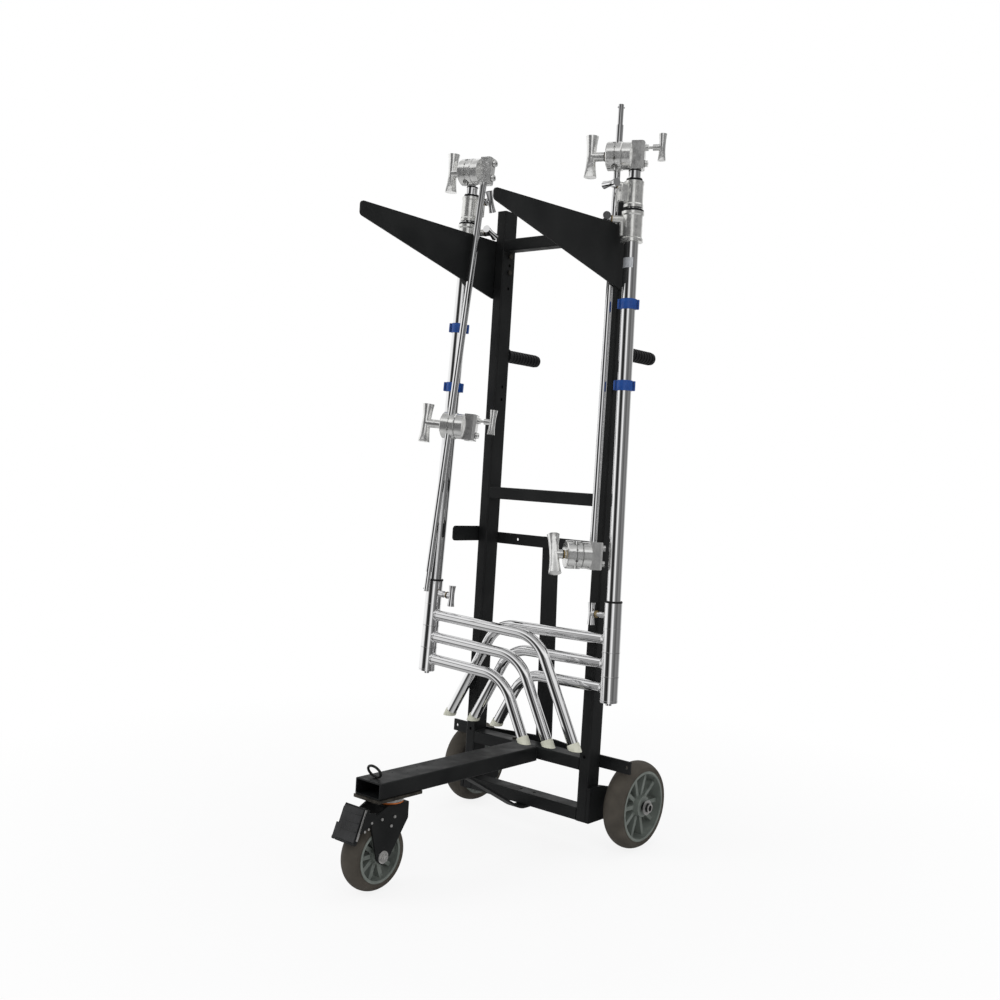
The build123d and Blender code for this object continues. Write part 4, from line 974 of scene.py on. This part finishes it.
# ------------------------------------------------------------------ studio
@dataclass
class Studio:
    """Floor, light and camera."""

    cart: Cart
    azimuth: float = 39.63
    elevation: float = 1.28
    roll: float = 3.50
    focal_share: float = 1.1203
    eye: tuple[float, float, float] = (1613.1, -2095.5, 776.5)
    sensor: float = 36
    floor_size: float = 7

    def build_camera(self) -> None:
        """Sets up the camera in the cart's own axes."""
        azimuth, elevation, roll = (math.radians(angle) for angle in (self.azimuth, self.elevation, self.roll))
        back = Vector((math.sin(azimuth) * math.cos(elevation), -math.cos(azimuth) * math.cos(elevation),
                       math.sin(elevation)))
        right = Vector((math.cos(azimuth), math.sin(azimuth), 0))
        up = back.cross(right)
        level = right * math.cos(roll) + up * math.sin(roll)
        plumb = up * math.cos(roll) - right * math.sin(roll)
        axes = self.cart.place.matrix.to_3x3()
        rows = Matrix((axes @ level, axes @ plumb, axes @ back)).transposed().to_4x4()
        camera = bpy.data.objects.new("camera", bpy.data.cameras.new("camera"))
        bpy.context.scene.collection.objects.link(camera)
        camera.matrix_world = Matrix.Translation(self.cart.spot(*self.eye).origin) @ rows
        camera.data.sensor_width = self.sensor
        camera.data.lens = self.sensor * self.focal_share
        camera.data.clip_end = 100
        bpy.context.scene.camera = camera

    def build_floor(self) -> None:
        """Lays a pale floor that fades to white away from the cart."""
        mesh = bpy.data.meshes.new("floor")
        half = self.floor_size / 2
        mesh.from_pydata([(-half, -half, 0), (half, -half, 0), (half, half, 0), (-half, half, 0)], [],
                         [(0, 1, 2, 3)])
        floor = bpy.data.objects.new("floor", mesh)
        bpy.context.scene.collection.objects.link(floor)
        material = bpy.data.materials.new("pale_floor")
        material.use_nodes = True
        tree = material.node_tree
        tree.nodes.clear()
        output = tree.nodes.new("ShaderNodeOutputMaterial")
        diffuse = tree.nodes.new("ShaderNodeBsdfDiffuse")
        diffuse.inputs["Color"].default_value = (0.9, 0.9, 0.9, 1)
        glow = tree.nodes.new("ShaderNodeEmission")
        seen = tree.nodes.new("ShaderNodeMixShader")
        near = tree.nodes.new("ShaderNodeMixShader")
        path = tree.nodes.new("ShaderNodeLightPath")
        place = tree.nodes.new("ShaderNodeTexCoord")
        length = tree.nodes.new("ShaderNodeVectorMath")
        length.operation = "LENGTH"
        tree.links.new(place.outputs["Object"], length.inputs[0])
        fade = tree.nodes.new("ShaderNodeMapRange")
        for name, number in (("From Min", 0.6), ("From Max", 1.6), ("To Min", 0.86), ("To Max", 1.0)):
            fade.inputs[name].default_value = number
        tree.links.new(length.outputs["Value"], fade.inputs["Value"])
        tree.links.new(fade.outputs["Result"], near.inputs["Fac"])
        tree.links.new(diffuse.outputs["BSDF"], near.inputs[1])
        tree.links.new(glow.outputs["Emission"], near.inputs[2])
        tree.links.new(path.outputs["Is Camera Ray"], seen.inputs["Fac"])
        tree.links.new(diffuse.outputs["BSDF"], seen.inputs[1])
        tree.links.new(near.outputs["Shader"], seen.inputs[2])
        tree.links.new(seen.outputs["Shader"], output.inputs["Surface"])
        floor.visible_glossy = False
        mesh.materials.append(material)

    @staticmethod
    def set_stops(ramp: bpy.types.ShaderNode, stops: list[tuple[float, float]]) -> None:
        """Fills a colour ramp with grey levels.

        Args:
            ramp: the ramp's node.
            stops: places along the ramp and their levels.
        """
        ramp.color_ramp.interpolation = "EASE"
        elements = ramp.color_ramp.elements
        while len(elements) < len(stops):
            elements.new(0.5)
        for element, (place, level) in zip(elements, stops):
            element.position = place
            element.color = (level, level, level, 1)

    def build_world(self) -> None:
        """Makes a white surround that bright metal shows with darker bands, as in a studio."""
        world = bpy.data.worlds.new("studio")
        bpy.context.scene.world = world
        world.use_nodes = True
        tree = world.node_tree
        tree.nodes.clear()
        output = tree.nodes.new("ShaderNodeOutputWorld")
        place = tree.nodes.new("ShaderNodeTexCoord")
        split = tree.nodes.new("ShaderNodeSeparateXYZ")
        tree.links.new(place.outputs["Generated"], split.inputs["Vector"])
        angle = tree.nodes.new("ShaderNodeMath")
        angle.operation = "ARCTAN2"
        tree.links.new(split.outputs["Y"], angle.inputs[0])
        tree.links.new(split.outputs["X"], angle.inputs[1])
        turn = tree.nodes.new("ShaderNodeMapRange")
        turn.inputs["From Min"].default_value = -math.pi
        turn.inputs["From Max"].default_value = math.pi
        tree.links.new(angle.outputs["Value"], turn.inputs["Value"])
        bands = tree.nodes.new("ShaderNodeValToRGB")
        self.set_stops(bands, [((degrees + 180) / 360, level) for degrees, level in self.BANDS])
        tree.links.new(turn.outputs["Result"], bands.inputs["Fac"])
        level = tree.nodes.new("ShaderNodeMapRange")
        level.inputs["From Min"].default_value = -1
        tree.links.new(split.outputs["Z"], level.inputs["Value"])
        above = tree.nodes.new("ShaderNodeValToRGB")
        self.set_stops(above, [((height + 1) / 2, grey) for height, grey in self.SKY])
        tree.links.new(level.outputs["Result"], above.inputs["Fac"])
        share = tree.nodes.new("ShaderNodeMapRange")
        share.inputs["From Min"].default_value = 0.30
        share.inputs["From Max"].default_value = 0.42
        height = tree.nodes.new("ShaderNodeMath")
        height.operation = "ABSOLUTE"
        tree.links.new(split.outputs["Z"], height.inputs[0])
        tree.links.new(height.outputs["Value"], share.inputs["Value"])
        sky = tree.nodes.new("ShaderNodeMix")
        sky.data_type = "RGBA"
        tree.links.new(share.outputs["Result"], sky.inputs["Factor"])
        tree.links.new(bands.outputs["Color"], sky.inputs[6])
        tree.links.new(above.outputs["Color"], sky.inputs[7])
        path = tree.nodes.new("ShaderNodeLightPath")
        shine = tree.nodes.new("ShaderNodeBackground")
        tree.links.new(sky.outputs[2], shine.inputs["Color"])
        plain = tree.nodes.new("ShaderNodeBackground")
        plain.inputs["Color"].default_value = (0.55, 0.55, 0.56, 1)
        white = tree.nodes.new("ShaderNodeBackground")
        white.inputs["Color"].default_value = (1, 1, 1, 1)
        first = tree.nodes.new("ShaderNodeMixShader")
        second = tree.nodes.new("ShaderNodeMixShader")
        tree.links.new(path.outputs["Is Glossy Ray"], first.inputs["Fac"])
        tree.links.new(plain.outputs["Background"], first.inputs[1])
        tree.links.new(shine.outputs["Background"], first.inputs[2])
        tree.links.new(path.outputs["Is Camera Ray"], second.inputs["Fac"])
        tree.links.new(first.outputs["Shader"], second.inputs[1])
        tree.links.new(white.outputs["Background"], second.inputs[2])
        tree.links.new(second.outputs["Shader"], output.inputs["Surface"])

    def build_lamps(self) -> None:
        """Hangs one large soft lamp on each side of the camera and one above."""
        for name, spot, size, power in (("key_lamp", (-2.2, -2.6, 2.9), 2.2, 42),
                                        ("fill_lamp", (3.4, -0.8, 2.0), 2.4, 24),
                                        ("top_lamp", (0.2, 1.2, 4.0), 2.6, 26)):
            lamp = bpy.data.lights.new(name, "AREA")
            lamp.energy = power
            lamp.shape = "DISK"
            lamp.size = size
            holder = bpy.data.objects.new(name, lamp)
            bpy.context.scene.collection.objects.link(holder)
            holder.location = spot
            holder.visible_glossy = False
            aim = Vector((0, 0, 0.8)) - Vector(spot)
            holder.rotation_euler = aim.to_track_quat("-Z", "Y").to_euler()

    def build(self) -> None:
        """Sets up the whole studio."""
        self.build_floor()
        self.build_world()
        self.build_lamps()
        self.build_camera()
        bpy.context.scene.view_settings.view_transform = "Standard"

    BANDS = ((-180, 0.95), (-152, 1.0), (-132, 0.75), (-119, 0.05), (-86, 0.015), (-77, 0.12), (-66, 0.7), (-51, 1.0),
             (-42, 0.45), (-33, 0.20), (-6, 0.11), (14, 0.22), (55, 0.18), (72, 0.4), (92, 0.8), (180, 0.95))
    SKY = ((-1, 0.35), (-0.8, 0.5), (-0.6, 0.35), (-0.46, 0.08), (-0.2, 0.1), (0.34, 0.1), (0.44, 0.06), (0.54, 0.8),
           (0.68, 0.95), (0.84, 0.5), (1.0, 0.35))


def main() -> None:
    """Builds every part in order."""
    logging.basicConfig(level=logging.INFO, format="%(message)s")
    dress_nodes()
    cart = Cart()
    cart.build()
    Stand(Side.LEFT, (691, 834), 38, 8.5).build()
    Stand(Side.RIGHT, (700, 880), 38, 0).build()
    for head in grip_heads():
        head.build()
    Studio(cart).build()
    log.info("%d pieces", Maker.count)


if __name__ == "__main__":
    main()
